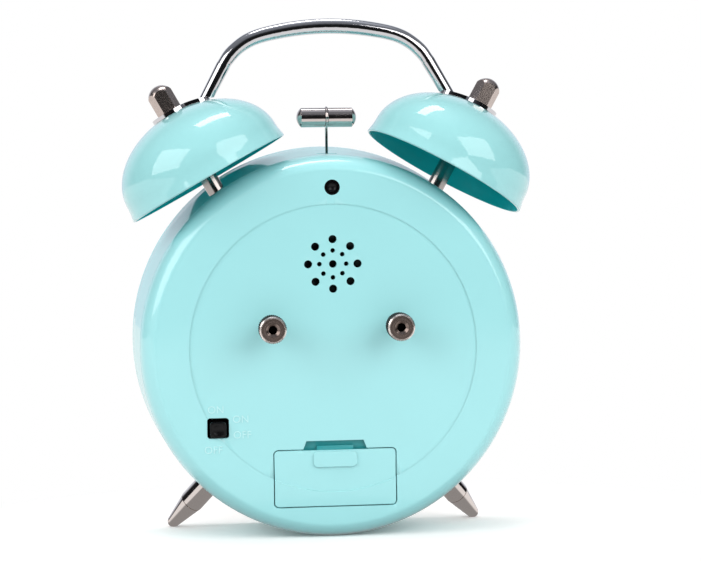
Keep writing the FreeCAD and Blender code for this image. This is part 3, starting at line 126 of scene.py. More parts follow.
class Finish:
    """A material that starts as one plain shader and gathers patterns in real sizes."""

    def __init__(self, name, colour, **sockets):
        self.material = bpy.data.materials.new(name)
        self.material.use_nodes = True
        self.tree = self.material.node_tree
        self.shader = self.tree.nodes["Principled BSDF"]
        self.shader.inputs["Base Color"].default_value = linear(colour)
        for socket, value in sockets.items():
            self.shader.inputs[socket.replace("_", " ")].default_value = value
        self.place = put(self.tree, "ShaderNodeTexCoord").outputs["Object"]

    def about(self, middle, axis):
        """Read places from a turned piece's own middle line, which becomes Z."""
        turn = Vector(axis).rotation_difference(Vector((0, 0, 1)))
        moved = -(turn @ Vector(middle))
        self.place = put(self.tree, "ShaderNodeMapping",
                         {"Vector": self.place, "Location": moved[:],
                          "Rotation": turn.to_euler()[:]}).outputs[0]
        return self

    def turned_place(self):
        """Radius, nothing, and height about the middle line: read here, a pattern runs in rings."""
        flat = put(self.tree, "ShaderNodeVectorMath", {0: self.place, 1: (1, 1, 0)},
                   operation="MULTIPLY").outputs[0]
        radius = put(self.tree, "ShaderNodeVectorMath", {0: flat},
                     operation="LENGTH").outputs["Value"]
        height = split(self.tree, self.place)[2]
        return put(self.tree, "ShaderNodeCombineXYZ", {0: radius, 2: height}).outputs[0]

    def within(self, middle, half):
        """1 inside a box given in mm, 0 outside it."""
        parts = split(self.tree, self.place)
        hits = [maths(self.tree, "COMPARE", parts[i], middle[i] * MM, half[i] * MM)
                for i in range(3)]
        both = maths(self.tree, "MULTIPLY", hits[0], hits[1])
        return maths(self.tree, "MULTIPLY", both, hits[2])

    def tint(self, colour, share):
        """Mix a second colour in by a share from 0 to 1."""
        # sockets 6 and 7 of a mix node are its two colours, and 2 is the colour it gives
        mixed = put(self.tree, "ShaderNodeMix",
                    {0: share, 6: held(self.shader, "Base Color"), 7: linear(colour)},
                    data_type="RGBA")
        self.tree.links.new(mixed.outputs[2], self.shader.inputs["Base Color"])
        return self

    def noise(self, size_mm, stretch=(1, 1, 1), detail=3.0, place=None):
        """Noise whose grains are size_mm across, drawn out by stretch along the axes."""
        drawn = put(self.tree, "ShaderNodeMapping",
                    {"Vector": place or self.place,
                     "Scale": [1 / (size_mm * MM * s) for s in stretch]})
        return put(self.tree, "ShaderNodeTexNoise",
                   {"Vector": drawn.outputs[0], "Scale": 1.0, "Detail": detail}).outputs["Fac"]

    def vary(self, pattern, colour=0.0, rough=0.0, bump=0.0):
        """Let a pattern move the brightness, the roughness and the surface height (in mm)."""
        if colour:
            value = mapped(self.tree, pattern, NOISE_SPAN, (1 - colour, 1 + colour))
            mixed = put(self.tree, "ShaderNodeHueSaturation",
                        {"Color": held(self.shader, "Base Color"), "Value": value})
            self.tree.links.new(mixed.outputs[0], self.shader.inputs["Base Color"])
        if rough:
            change = mapped(self.tree, pattern, NOISE_SPAN, (-rough, rough))
            total = maths(self.tree, "ADD", held(self.shader, "Roughness"), change, use_clamp=True)
            self.tree.links.new(total, self.shader.inputs["Roughness"])
        if bump:
            below = self.shader.inputs["Normal"]
            inputs = {"Height": pattern, "Distance": bump * MM, "Strength": 1.0}
            if below.is_linked:
                inputs["Normal"] = below.links[0].from_socket
            raised = put(self.tree, "ShaderNodeBump", inputs)
            self.tree.links.new(raised.outputs[0], below)
        return self


# ------------------------------------------------------------------ where the turned pieces sit
# Places are in mm from the middle of the rear face: across, out of the rear, and up.
SIDES = ((1, "left"), (-1, "right"))
BELL_TILT, BELL_NOD = math.radians(29.4), math.radians(4.0)     # outwards, and to the front
BELL_RIM = (36.34, -16.0, 52.09)                                # middle of the left bell's rim
BELL_SAG = 0.64                 # how much lower the left bell hangs, and how much higher the right
FOOT_ROUND, FOOT_SPLAY = math.radians(39.5), math.radians(25.0)     # round the drum, forwards
FOOT_ROOT = (37.4, -31.5, -45.4)                                # where the left foot starts
KNOB_FACE = (19.2, 12.0, 7.05)                                  # middle of the left knob's face


def to_side(place, side):
    """Point on the drum, mirrored to a side."""
    return on_drum(side * place[0], place[1], place[2])


def bell_axis(side):
    """Direction from a bell's rim plane to its crown."""
    return along(side * math.sin(BELL_TILT), -math.cos(BELL_TILT) * math.sin(BELL_NOD),
                 math.cos(BELL_TILT) * math.cos(BELL_NOD))


def bell_point(side, height):
    """Point on a bell's axis, its height in mm above the rim plane."""
    across, out, up = BELL_RIM
    return on_drum(side * across, out, up - side * BELL_SAG) + bell_axis(side) * height * MM


def foot_axis(side):
    """Direction from the drum out along a foot."""
    return along(side * math.cos(FOOT_SPLAY) * math.sin(FOOT_ROUND), -math.sin(FOOT_SPLAY),
                 -math.cos(FOOT_SPLAY) * math.cos(FOOT_ROUND))


# ------------------------------------------------------------------ finishes
BELL_MIDDLE = 6.0               # height in mm above the rim from which a bell's inside is told
NOTCH_MIDDLE = (0, 29.75, -5.0)     # the finger notch, where the shell's colour is painted darker as shade, in mm: across, down, and out of the rear
NOTCH_HALF = (10.2, 1.42, 4.5)      # and half its size
POLISHED_FROM = 3.5             # a knob's bevelled edge is polished from this radius out, in mm
KNURL_TOP = -0.45               # the knurling starts this far from a knob's face, in mm
KNURL_DULL = 0.6                # how much rougher the knurling is
HOLE_FLOOR = -6.0               # depth down to which a knob's hole is painted black as shade, in mm
BAND_FROM = 6.0                 # the coloured band of the cell's sleeve starts here, in mm


def sprayed_enamel(name, colour="#A0E3E5", gloss=1.0, base_shine=0.5):
    """Gloss enamel sprayed on spun steel: sharp wet highlights with a faint orange peel."""
    paint = Finish(name, colour, Roughness=0.36, Specular_IOR_Level=base_shine, Coat_Weight=gloss,
                   Coat_Roughness=0.03, Coat_IOR=1.6)
    paint.vary(paint.noise(2.2, detail=1.0), bump=0.004)
    return paint.vary(paint.noise(28.0), colour=0.01, rough=0.03)


def bell_enamel(name, side):
    """The same enamel on a bell. Inside, the colour is painted a deep saturated teal and the coat
    is left off: painted shade standing in for the light that bounces between the bell's walls.
    """
    paint = sprayed_enamel(name, "#9CD8DA", base_shine=0.12)
    paint.about(bell_point(side, BELL_MIDDLE), bell_axis(side))
    tree = paint.tree
    outwards = put(tree, "ShaderNodeTexCoord").outputs["Normal"]
    turn = bell_axis(side).rotation_difference(Vector((0, 0, 1)))
    facing = put(tree, "ShaderNodeMapping",
                 {"Vector": outwards, "Rotation": turn.to_euler()[:]}).outputs[0]
    away = put(tree, "ShaderNodeVectorMath", {0: paint.place, 1: facing}, operation="DOT_PRODUCT")
    # Painted shade: inside the bell the coat is dropped and the colour tinted deep teal in place of
    # the inter-reflected light there.
    inside = maths(tree, "LESS_THAN", away.outputs["Value"], 0.0)
    tree.links.new(maths(tree, "SUBTRACT", 1.0, inside), paint.shader.inputs["Coat Weight"])
    return paint.tint("#12C6CB", inside)


def moulded_abs(name, colour):
    """Smooth injection-moulded ABS: an even satin gloss, with a trace of flow in its colour.
    In the finger notch over the battery door the colour is painted a deeper teal: painted shade for
    the depth of the pocket."""
    shell = Finish(name, colour, Roughness=0.34, Coat_Weight=1.0, Coat_Roughness=0.05)
    shell.about(REAR_FACE, AXIS)
    # Painted shade: the notch's box is tinted deep teal where the pocket lies in shade.
    shell.tint("#2F9A9E", shell.within(NOTCH_MIDDLE, NOTCH_HALF))
    shell.vary(shell.noise(0.35, detail=2.0), bump=0.0008)
    return shell.vary(shell.noise(34.0, detail=2.0), colour=0.01, rough=0.03)


def polished_chrome():
    """Bright chrome plate on bent steel: mirror-like, with faint smudges here and there."""
    plate = Finish("polished_chrome", "#D2D0D2", Metallic=1.0, Roughness=0.05)
    plate.vary(plate.noise(5.0), rough=0.03)
    return plate.vary(plate.noise(0.6, stretch=(12, 1, 1)), colour=0.03)


def bright_nickel():
    """Buffed nickel plate: nearly a mirror, warmer and darker than chrome."""
    plate = Finish("bright_nickel", "#CFC4C0", Metallic=1.0, Roughness=0.1)
    plate.vary(plate.noise(3.0), rough=0.04)
    return plate.vary(plate.noise(0.4, stretch=(10, 1, 1)), colour=0.05)


def grained_nickel():
    """Nickel-plated hexagon bar: the grain of the drawn steel shows through as fine dark specks."""
    bar = Finish("grained_nickel_bar", "#C6B7B0", Metallic=1.0, Roughness=0.24)
    bar.vary(bar.noise(0.22, detail=2.0), colour=0.12, rough=0.05, bump=0.004)
    return bar.vary(bar.noise(2.5), colour=0.06)


def turned_nickel(name, colour, middle, axis, rough=0.2, ring=0.04, knurled_from=None, hole=None):
    """Nickel-plated turned steel: fine tool rings round the piece's axis, with a light grain.
    Where it's knurled and down its hole the colour is painted near-black: painted shade for the
    shadowed side and the deep hole. Both are radii in mm."""
    metal = Finish(name, colour, Metallic=1.0, Roughness=rough).about(middle, axis)
    if knurled_from:
        tree = metal.tree
        radius = split(tree, metal.turned_place())[0]
        depth = split(tree, metal.place)[2]
        side = maths(tree, "MULTIPLY", maths(tree, "GREATER_THAN", radius, knurled_from * MM),
                     maths(tree, "LESS_THAN", depth, KNURL_TOP * MM))
        metal.tint("#EDE2DB", maths(tree, "GREATER_THAN", radius, POLISHED_FROM * MM))
        # Painted shade: the knurled side is tinted near-black and made non-metal, standing in for
        # the shadow on that side.
        metal.tint("#1B1918", side)
        tree.links.new(maths(tree, "SUBTRACT", 1.0, side), metal.shader.inputs["Metallic"])
        tree.links.new(maths(tree, "MULTIPLY_ADD", side, KNURL_DULL, rough),
                       metal.shader.inputs["Roughness"])
        # Painted shade: the hole is tinted black down to HOLE_FLOOR, standing in for the shadow in
        # its depth.
        metal.tint("#060606", maths(tree, "MULTIPLY", maths(tree, "LESS_THAN", radius, hole * MM),
                                    maths(tree, "GREATER_THAN", depth, HOLE_FLOOR * MM)))
    rings = metal.noise(0.3, detail=2.0, place=metal.turned_place())
    metal.vary(rings, colour=ring, rough=0.06, bump=0.004)
    return metal.vary(metal.noise(0.45, detail=2.0), colour=ring, rough=0.03)


def plated_steel():
    """Zinc-plated steel: dull silver with a soft mottle."""
    steel = Finish("zinc_plated_steel", "#A9ABAD", Metallic=1.0, Roughness=0.38)
    return steel.vary(steel.noise(1.2), colour=0.06, rough=0.08)


def turned_brass():
    """Turned brass: yellow metal with fine rings."""
    brass = Finish("turned_brass", "#C7A45A", Metallic=1.0, Roughness=0.28)
    return brass.vary(brass.noise(0.1, stretch=(20, 1, 20)), colour=0.06, rough=0.05)


def wound_copper():
    """Enamelled copper wire wound in close turns: ridges side by side along the coil."""
    coil = Finish("wound_copper", "#B4622F", Metallic=1.0, Roughness=0.3)
    ridge = 0.2 * MM            # for each radian of the wave, which runs 20 radians a unit
    ridges = put(coil.tree, "ShaderNodeTexWave", {"Vector": coil.place, "Scale": 1 / (20 * ridge)},
                 wave_type="BANDS", bands_direction="X").outputs["Fac"]
    return coil.vary(ridges, colour=0.2, bump=0.04)


def black_abs():
    """Black moulded plastic: deep, with a fine spark-eroded texture that greys its highlights."""
    plastic = Finish("black_abs", "#08080A", Roughness=0.3, Specular_IOR_Level=0.25)
    plastic.vary(plastic.noise(0.25), rough=0.06, bump=0.003)
    return plastic


def white_abs():
    """White moulded plastic, slightly warm and satin."""
    plastic = Finish("white_abs", "#E9E9E4", Roughness=0.45, Subsurface_Weight=0.05)
    plastic.shader.inputs["Subsurface Scale"].default_value = 0.5 * MM
    return plastic.vary(plastic.noise(0.4), rough=0.05, bump=0.003)


def tinned_steel():
    """Tin-plated pressed steel: grey and softly clouded."""
    tin = Finish("tinned_steel", "#B3B3B0", Metallic=1.0, Roughness=0.33)
    return tin.vary(tin.noise(2.5), colour=0.05, rough=0.1)


def dial_paper():
    """Matt printed dial: clean white with the slight tooth of its coat."""
    card = Finish("dial_paper", "#FAFAF6", Roughness=0.7)
    return card.vary(card.noise(0.12), colour=0.01, bump=0.002)


def satin_paint(name, colour):
    """Thin satin paint on stamped metal."""
    paint = Finish(name, colour, Roughness=0.38)
    return paint.vary(paint.noise(0.3), rough=0.05, bump=0.002)


def dial_ink():
    """Screen-printed ink, a little glossier than the dial."""
    ink = Finish("dial_ink", "#15161A", Roughness=0.5)
    return ink.vary(ink.noise(0.1), rough=0.08, colour=0.1)


def glow_paint():
    """Pale green luminous paint laid in the hands: thick and matt."""
    paint = Finish("luminous_paint", "#DDE8C6", Roughness=0.8)
    return paint.vary(paint.noise(0.2), colour=0.04, bump=0.02)


def clear_glass():
    """Pressed mineral glass: clear, with a faint ripple in its reflections."""
    glass = Finish("clear_glass", "#F8FCFC", Roughness=0.0, IOR=1.5, Transmission_Weight=1.0)
    glass.vary(glass.noise(14.0, detail=1.0), bump=0.01)
    return glass


def cell_sleeve():
    """Shrink sleeve round a dry cell: satin dark grey with a copper-coloured band at one end."""
    sleeve = Finish("cell_sleeve", "#4A4D52", Roughness=0.3)
    across = split(sleeve.tree, sleeve.place)[0]
    sleeve.tint("#B07A45", maths(sleeve.tree, "GREATER_THAN", across, BAND_FROM * MM))
    return sleeve.vary(sleeve.noise(0.5), rough=0.04)


ENAMEL = sprayed_enamel("sprayed_enamel_mint", gloss=0.6).material
SHELL = moulded_abs("moulded_abs_mint", "#A3E3E6").material
# Painted highlight: the raised switch words are the cover's ABS in a lighter colour, standing in
# for the light their edges catch.
LETTERS_PAINTED_LIGHT = moulded_abs("moulded_abs_mint_letters_painted_highlight", "#C2F1F3").material
CHROME = polished_chrome().material
BRIGHT_NICKEL = bright_nickel().material
NUT_NICKEL = grained_nickel().material
BELL_ENAMEL, KNOB_NICKEL, FOOT_NICKEL, SLEEVE_NICKEL = {}, {}, {}, {}
for side, hand in SIDES:
    BELL_ENAMEL[side] = bell_enamel(f"sprayed_enamel_bell_{hand}", side).material
    KNOB_NICKEL[side] = turned_nickel(
        f"turned_nickel_knob_{hand}", "#85766F", to_side(KNOB_FACE, side), AXIS,
        rough=0.24, ring=0.1, knurled_from=3.8, hole=1.3).material
    FOOT_NICKEL[side] = turned_nickel(
        f"turned_nickel_foot_{hand}", "#DDD3CE", to_side(FOOT_ROOT, side), foot_axis(side),
        rough=0.08, ring=0.02).material
    SLEEVE_NICKEL[side] = turned_nickel(
        f"turned_nickel_sleeve_{hand}", "#ABA4A0", bell_point(side, 0), bell_axis(side),
        rough=0.16).material
STEEL = plated_steel().material
BRASS = turned_brass().material
COPPER = wound_copper().material
BLACK = black_abs().material
WHITE = white_abs().material
TIN = tinned_steel().material
DIAL = dial_paper().material
HAND_BLACK = satin_paint("satin_black_paint", "#101114").material
HAND_RED = satin_paint("satin_red_paint", "#B5231D").material
INK = dial_ink().material
GLOW = glow_paint().material
GLASS = clear_glass().material
CELL = cell_sleeve().material

WORN_BY = (
    (ENAMEL, "case_drum front_bezel"),
    (BELL_ENAMEL[1], "bell_left"),
    (BELL_ENAMEL[-1], "bell_right"),
    (SHELL, "rear_cover battery_door"),
    (CHROME, "handle"),
    (BRIGHT_NICKEL, "hammer_head hammer_wire"),
    (NUT_NICKEL, "cap_nuts"),
    (KNOB_NICKEL[1], "alarm_knob alarm_stem"),
    (KNOB_NICKEL[-1], "time_knob time_stem"),
    (SLEEVE_NICKEL[1], "bell_sleeve_left"),
    (SLEEVE_NICKEL[-1], "bell_sleeve_right"),
    (FOOT_NICKEL[1], "foot_left"),
    (FOOT_NICKEL[-1], "foot_right"),
    (STEEL, "bell_stud_left bell_stud_right inner_nuts inner_washers hammer_bracket hammer_pin "
            "hammer_lever armature coil_core contact_plate contact_spring second_pin"),
    (BRASS, "minute_tube hour_tube alarm_tube"),
    (COPPER, "hammer_coil"),
    (BLACK, "battery_tray switch_body light_switch buzzer_diaphragm switch_slider light_button "
            "light_bush"),
    (WHITE, "spacer_ring inner_frame movement_case movement_lid"),
    (TIN, "buzzer_cup"),
    (DIAL, "dial"),
    (HAND_BLACK, "hour_hand minute_hand second_hand"),
    (HAND_RED, "alarm_hand"),
    (GLASS, "lens dial_lamp"),
    (CELL, "battery_cell"),
)
for material, names in WORN_BY:
    for name in names.split():
        mesh = frame["nodes"][name].data
        mesh.materials.clear()
        mesh.materials.append(material)


# ------------------------------------------------------------------ pieces in mesh code
# Lengths are in mm from the middle of the rear face.
STEP_R, STEP_DEPTH, STEP_SLOPE = 43.9, 0.4, 0.15    # the cover's sunk middle, and the slope to it
SHOULDER_R = 53.7               # where the cover's flat face ends
COVER_EDGE_R, COVER_EDGE_Y = 58.45, -6.2            # lowest edge of its shoulder, on the drum
COVER_INNER_R = 57.9            # the edge's underside reaches in to here
DRUM_REAR_R, DRUM_TAPER = 58.0, 1.2 / 33.0          # the drum before it is flared
DRUM_FRONT_Y, DRUM_FLARE = -36.88, 1.45
DRUM_HALF_WALL = 0.3
SOUND_Z, SOUND_REACH = 25.6, 12                     # the group of sound holes
DOOR_TOP_Z = -28                # the door and its notch are below this
ROUND_STEPS = 288               # facets round the turned shoulder
WELD = 0.0005                   # points nearer than this are one
SHARP = math.radians(50)        # only edges bent more than this are rounded


def placed(name, data):
    """New object at the origin."""
    item = bpy.data.objects.new(name, data)
    bpy.context.scene.collection.objects.link(item)
    return item


def built_mesh(item):
    """An object's mesh with its modifiers, or its letters, worked out."""
    bpy.context.view_layer.update()
    return bpy.data.meshes.new_from_object(
        item.evaluated_get(bpy.context.evaluated_depsgraph_get()))


def worked_copy(node):
    """The node's loose triangles merged into one surface, in mm, ready to be worked on."""
    work = bmesh.new()
    work.from_mesh(frame["nodes"][node].data)
    work.transform(TO_DRUM)
    bmesh.ops.remove_doubles(work, verts=work.verts, dist=WELD)
    return work


def eased(work, radius, chosen):
    """Round the outer edges that chosen accepts, as a mould leaves them."""
    edges = [e for e in work.edges if len(e.link_faces) == 2 and e.is_convex
             and e.calc_face_angle() > SHARP and all(chosen(v.co) for v in e.verts)]
    bmesh.ops.bevel(work, geom=edges, offset=radius, offset_type="OFFSET", segments=3,
                    profile=0.5, affect="EDGES", clamp_overlap=False)


def finished(work, name, node, body="case", crease=35):
    """Put a worked copy back in its place, where it stands for the node."""
    mesh = bpy.data.meshes.new(name)
    work.transform(TO_DRUM.inverted())
    work.to_mesh(mesh)
    work.free()
    for face in mesh.polygons:
        face.use_smooth = True
    mesh.set_sharp_from_angle(angle=math.radians(crease))
    mesh.materials.append(frame["nodes"][node].data.materials[0])
    piece = placed(name, mesh)
    flat = piece.modifiers.new("flat_faces_stay_flat", "WEIGHTED_NORMAL")
    flat.keep_sharp = True
    piece.data = built_mesh(piece)
    piece.modifiers.clear()
    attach(piece, body)
    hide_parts(node)


def from_axis(point):
    """Distance from the drum's axis."""
    return math.hypot(point.x, point.z)


def sloped_step(work):
    """Lean the low wall round the cover's sunk middle, so that it catches the light."""
    for vert in work.verts:
        radius = from_axis(vert.co)
        at_foot = abs(radius - STEP_R) < 0.03 and abs(vert.co.y + STEP_DEPTH) < 0.01
        if at_foot:
            lean = (STEP_R - STEP_SLOPE) / radius
            vert.co.x, vert.co.z = vert.co.x * lean, vert.co.z * lean


def drum_skin():
    """The drum, its side pressed out in one even flare from the cover to the bezel."""
    drum = worked_copy("case_drum")
    step_wide = 0.05            # the flare ends in a step this wide, under the bezel's skirt
    for y in (DRUM_FRONT_Y, DRUM_FRONT_Y - step_wide):
        bmesh.ops.bisect_plane(drum, geom=drum.verts[:] + drum.edges[:] + drum.faces[:],
                               dist=1e-5, plane_co=(0, y, 0), plane_no=(0, 1, 0))
    for vert in drum.verts:
        y, radius = vert.co.y, from_axis(vert.co)
        middle_of_wall = DRUM_REAR_R + (COVER_EDGE_Y - y) * DRUM_TAPER - DRUM_HALF_WALL
        if y > DRUM_FRONT_Y - 0.02 and radius > middle_of_wall:
            share = (COVER_EDGE_Y - y) / (COVER_EDGE_Y - DRUM_FRONT_Y)
            flare = 1 + DRUM_FLARE * share / radius
            vert.co.x, vert.co.z = vert.co.x * flare, vert.co.z * flare
    finished(drum, "drum_skin", "case_drum")


def shoulder_profile():
    """Radius and height of the cover's edge: a tight crease, then a long curve to the drum."""
    crease_r, crease, crease_steps = 1.9, math.radians(28), 8
    steep, pull, curve_steps = math.radians(82), 2.4, 24
    line = []
    for i in range(crease_steps + 1):
        turned = crease * i / crease_steps
        line.append((SHOULDER_R + crease_r * math.sin(turned), -crease_r * (1 - math.cos(turned))))
    a, d = line[-1], (COVER_EDGE_R, COVER_EDGE_Y)
    b = (a[0] + pull * math.cos(crease), a[1] - pull * math.sin(crease))
    c = (d[0] - pull * math.cos(steep), d[1] + pull * math.sin(steep))
    for i in range(1, curve_steps + 1):
        t = i / curve_steps
        u = 1 - t
        line.append(tuple(u ** 3 * a[k] + 3 * u * u * t * b[k] + 3 * u * t * t * c[k]
                          + t ** 3 * d[k] for k in (0, 1)))
    return line


def on_shoulder(face):
    """True for the faces of the cover's plain quarter round."""
    middle = face.calc_center_median()
    return (middle.y > COVER_EDGE_Y + 0.05
            and all(from_axis(v.co) > SHOULDER_R - 0.05 and v.co.y > COVER_EDGE_Y - 0.01
                    for v in face.verts)
            and (face.normal.y > 0.01 or from_axis(middle) > COVER_EDGE_R - 0.15)
            and face.normal.y < 0.9999)


def at_opening(point):
    """True at the rims of the sound holes, the battery door's opening and its notch."""
    radius = from_axis(point)
    return (point.y > -0.45 and radius < SHOULDER_R - 0.7 and abs(radius - STEP_R) > 0.6
            and (point.z < DOOR_TOP_Z or math.hypot(point.x, point.z - SOUND_Z) < SOUND_REACH))


def rounded_cover():
    """The rear cover with its true shoulder turned in place of the plain quarter round."""
    cover = worked_copy("rear_cover")
    bmesh.ops.delete(cover, geom=[f for f in cover.faces if on_shoulder(f)], context="FACES")
    sloped_step(cover)
    eased(cover, 0.16, at_opening)
    rings = []
    for radius, y in shoulder_profile() + [(COVER_INNER_R, COVER_EDGE_Y)]:
        turns = [math.tau * i / ROUND_STEPS for i in range(ROUND_STEPS)]
        rings.append([cover.verts.new((radius * math.cos(t), y, radius * math.sin(t)))
                      for t in turns])
    for inner, outer in zip(rings, rings[1:]):
        for i in range(ROUND_STEPS):
            j = (i + 1) % ROUND_STEPS
            cover.faces.new((inner[j], inner[i], outer[i], outer[j]))
    finished(cover, "rounded_cover", "rear_cover", crease=24)


def eased_door():
    """The battery door with the rounded edges of its mould, its thumb pad softer still."""
    door = worked_copy("battery_door")
    sloped_step(door)
    eased(door, 0.22, lambda p: p.y > -0.45)
    finished(door, "eased_door", "battery_door", body="door", crease=50)


def eased_slider():
    """The switch slider with rounded edges."""
    slider = worked_copy("switch_slider")
    eased(slider, 0.35, lambda p: p.y > 0)
    finished(slider, "eased_slider", "switch_slider", body="slider", crease=50)


drum_skin()
rounded_cover()
eased_door()
eased_slider()


def joined(name, meshes, material, body):
    """One piece from several finished meshes, riding on a body."""
    total = bpy.data.meshes.new(name)
    points, faces = [], []
    for mesh in meshes:
        first = len(points)
        points += [v.co.copy() for v in mesh.vertices]
        faces += [[first + i for i in p.vertices] for p in mesh.polygons]
    total.from_pydata(points, [], faces)
    total.materials.append(material)
    piece = placed(name, total)
    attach(piece, body)


CAPITALS = 0.69                 # height of the capitals as a share of the font's size


def word(text, height, depth, place, soft=0.0):
    """Mesh of a raised word, its capitals height tall, its edges rounded by soft."""
    curve = bpy.data.curves.new("word", "FONT")
    curve.body = text
    curve.size = height / CAPITALS
    curve.extrude = depth / 2 - soft
    curve.bevel_depth, curve.offset = soft, -soft
    curve.align_x = "CENTER"
    curve.resolution_u = 4
    lettering = placed("word", curve)
    mesh = built_mesh(lettering)
    bpy.data.objects.remove(lettering)
    mesh.transform(place @ Matrix.Translation((0, -height / 2, depth / 2)))
    return mesh


def tick_tree():
    """Geometry nodes: bars set radially on a circle, then made one mesh."""
    tree = bpy.data.node_groups.new("ring_of_bars", "GeometryNodeTree")
    for name, kind in (("Geometry", "NodeSocketGeometry"), ("Count", "NodeSocketInt"),
                       ("Radius", "NodeSocketFloat"), ("Length", "NodeSocketFloat"),
                       ("Width", "NodeSocketFloat"), ("Thickness", "NodeSocketFloat"),
                       ("Material", "NodeSocketMaterial")):
        tree.interface.new_socket(name, in_out="INPUT", socket_type=kind)
    tree.interface.new_socket("Geometry", in_out="OUTPUT", socket_type="NodeSocketGeometry")
    given = put(tree, "NodeGroupInput").outputs
    ring = put(tree, "GeometryNodeMeshCircle",
               {"Vertices": given["Count"], "Radius": given["Radius"]})
    size = put(tree, "ShaderNodeCombineXYZ",
               {0: given["Width"], 1: given["Length"], 2: given["Thickness"]})
    bar = put(tree, "GeometryNodeMeshCube", {"Size": size.outputs[0]})
    outwards = put(tree, "FunctionNodeAlignRotationToVector",
                   {"Vector": put(tree, "GeometryNodeInputPosition").outputs[0]},
                   axis="Y", pivot_axis="Z")
    bars = put(tree, "GeometryNodeInstanceOnPoints",
               {"Points": ring.outputs[0], "Instance": bar.outputs[0],
                "Rotation": outwards.outputs[0]})
    solid = put(tree, "GeometryNodeRealizeInstances", {0: bars.outputs[0]})
    painted = put(tree, "GeometryNodeSetMaterial",
                  {"Geometry": solid.outputs[0], "Material": given["Material"]})
    put(tree, "NodeGroupOutput", {"Geometry": painted.outputs[0]})
    return tree


RING_OF_BARS = tick_tree()


def ring_of_bars(place, **sizes):
    """Plain mesh of the bars, laid on its place."""
    base = placed("ring", bpy.data.meshes.new("ring"))
    change = base.modifiers.new("ring", "NODES")
    change.node_group = RING_OF_BARS
    sockets = {s.name: s.identifier for s in RING_OF_BARS.interface.items_tree
               if s.in_out == "INPUT"}
    for name, value in sizes.items():
        change[sockets[name]] = value
    mesh = built_mesh(base)
    bpy.data.objects.remove(base)
    mesh.transform(place)
    return mesh


LEAF = ((0.3, 0.26), (0.6, 0.42), (0.88, 0.0))  # share of the hand's length, half width as a share
INLAY_PROUD, INLAY_SUNK = 0.06, 0.02            # above and below the hand's face, in mm


def luminous_inlay(node, body, width):
    """Leaf of luminous paint down the middle of a hand, on the side towards the lens."""
    points = [TO_DRUM @ v.co for v in frame["nodes"][node].data.vertices]
    tip = max(points, key=from_axis)
    front = min(p.y for p in points)
    length = from_axis(tip)
    forwards = Vector((tip.x, 0, tip.z)).normalized()
    sideways = forwards.cross(Vector((0, 1, 0)))
    leaf = bmesh.new()
    for share, half in LEAF:
        for sign in (-1, 1) if half else (0,):
            for y in (front - INLAY_PROUD, front + INLAY_SUNK):
                leaf.verts.new(forwards * length * share + sideways * width * half * sign
                               + Vector((0, y, 0)))
    bmesh.ops.convex_hull(leaf, input=leaf.verts)
    leaf.transform(TO_DRUM.inverted())
    mesh = bpy.data.meshes.new(f"{node}_inlay")
    leaf.to_mesh(mesh)
    leaf.free()
    joined(f"{node}_inlay", [mesh], GLOW, body)


luminous_inlay("hour_hand", "hour", 2.6)
luminous_inlay("minute_hand", "minute", 2.2)

PRINT = 0.02 * MM               # thickness of printing ink, drawn thick enough to render
NUMERAL_RING = 36.6 * MM
NUMERAL_HEIGHT = 9.2 * MM
TRACK_RING = 45.2 * MM
WORD_HEIGHT, WORD_DEPTH, WORD_SOFT = 2.2 * MM, 0.22 * MM, 0.05 * MM
WORD_SUNK = 0.05                # how far the switch words' feet are sunk in the cover, in mm

on_track = ON_DIAL @ Matrix.Translation((0, 0, PRINT))
track = [
    ring_of_bars(on_track, Count=60, Radius=TRACK_RING + 0.4 * MM, Length=1.6 * MM,
                 Width=0.35 * MM, Thickness=PRINT, Material=INK),
    ring_of_bars(on_track, Count=12, Radius=TRACK_RING, Length=2.6 * MM,
                 Width=1.0 * MM, Thickness=PRINT, Material=INK),
]
joined("dial_minute_track", track, INK, "case")

numerals = []
for hour in range(1, 13):
    angle = math.radians(30 * hour)
    spot = Vector((math.sin(angle), math.cos(angle), 0)) * NUMERAL_RING
    place = ON_DIAL @ Matrix.Translation(spot + Vector((0, 0, PRINT / 2)))
    numerals.append(word(str(hour), NUMERAL_HEIGHT, PRINT, place))
joined("dial_numerals", numerals, INK, "case")

switch_words = []
for text, x, z, floor_y in (("ON", 36.1, -17.9, -STEP_DEPTH), ("ON", 28.6, -20.9, -STEP_DEPTH),
                            ("OFF", 28.2, -25.7, -STEP_DEPTH), ("OFF", 37.0, -30.1, 0.0)):
    place = ON_REAR @ Matrix.Translation((-x * MM, z * MM, (floor_y - WORD_SUNK) * MM))
    switch_words.append(word(text, WORD_HEIGHT, WORD_DEPTH, place, soft=WORD_SOFT))
joined("switch_words", switch_words, LETTERS_PAINTED_LIGHT, "case")


# ------------------------------------------------------------------ floor, air and lamps
CENTRE = Vector((0, 0, 0.08))           # the lamps stand round this
WHITE_LIGHT = (1, 1, 1, 1)
FLOOR_REACH = 6.0
FLOOR_WHITE = (1.14, 1.1, 1.09, 1)      # the lit paper, a little warm against the mint bounce
FLOOR_PLAIN = "#D5D5D5"                 # the paper as it lights the clock
FLOOR_GLOW = 0.05                       # keeps the paper white where the lamps fall off
FLOOR_UNDER = 0.35                      # brightness of the shaded paper by the feet, in mirrors
LIT_TO_WHITE = (0.055, 0.15)            # lit paper turns plain white over this distance
UNDER_TO_OPEN = (0.058, 0.066)          # and shaded paper turns bright, in mirrors
FLOOR_TO_ROOM = (0.3, 0.42)             # and the paper behind the clock ends, in mirrors
ROOM_TINT = "#DFE6F2"
ROOM_DARK = 0.015                       # brightness of the room behind the camera, in mirrors
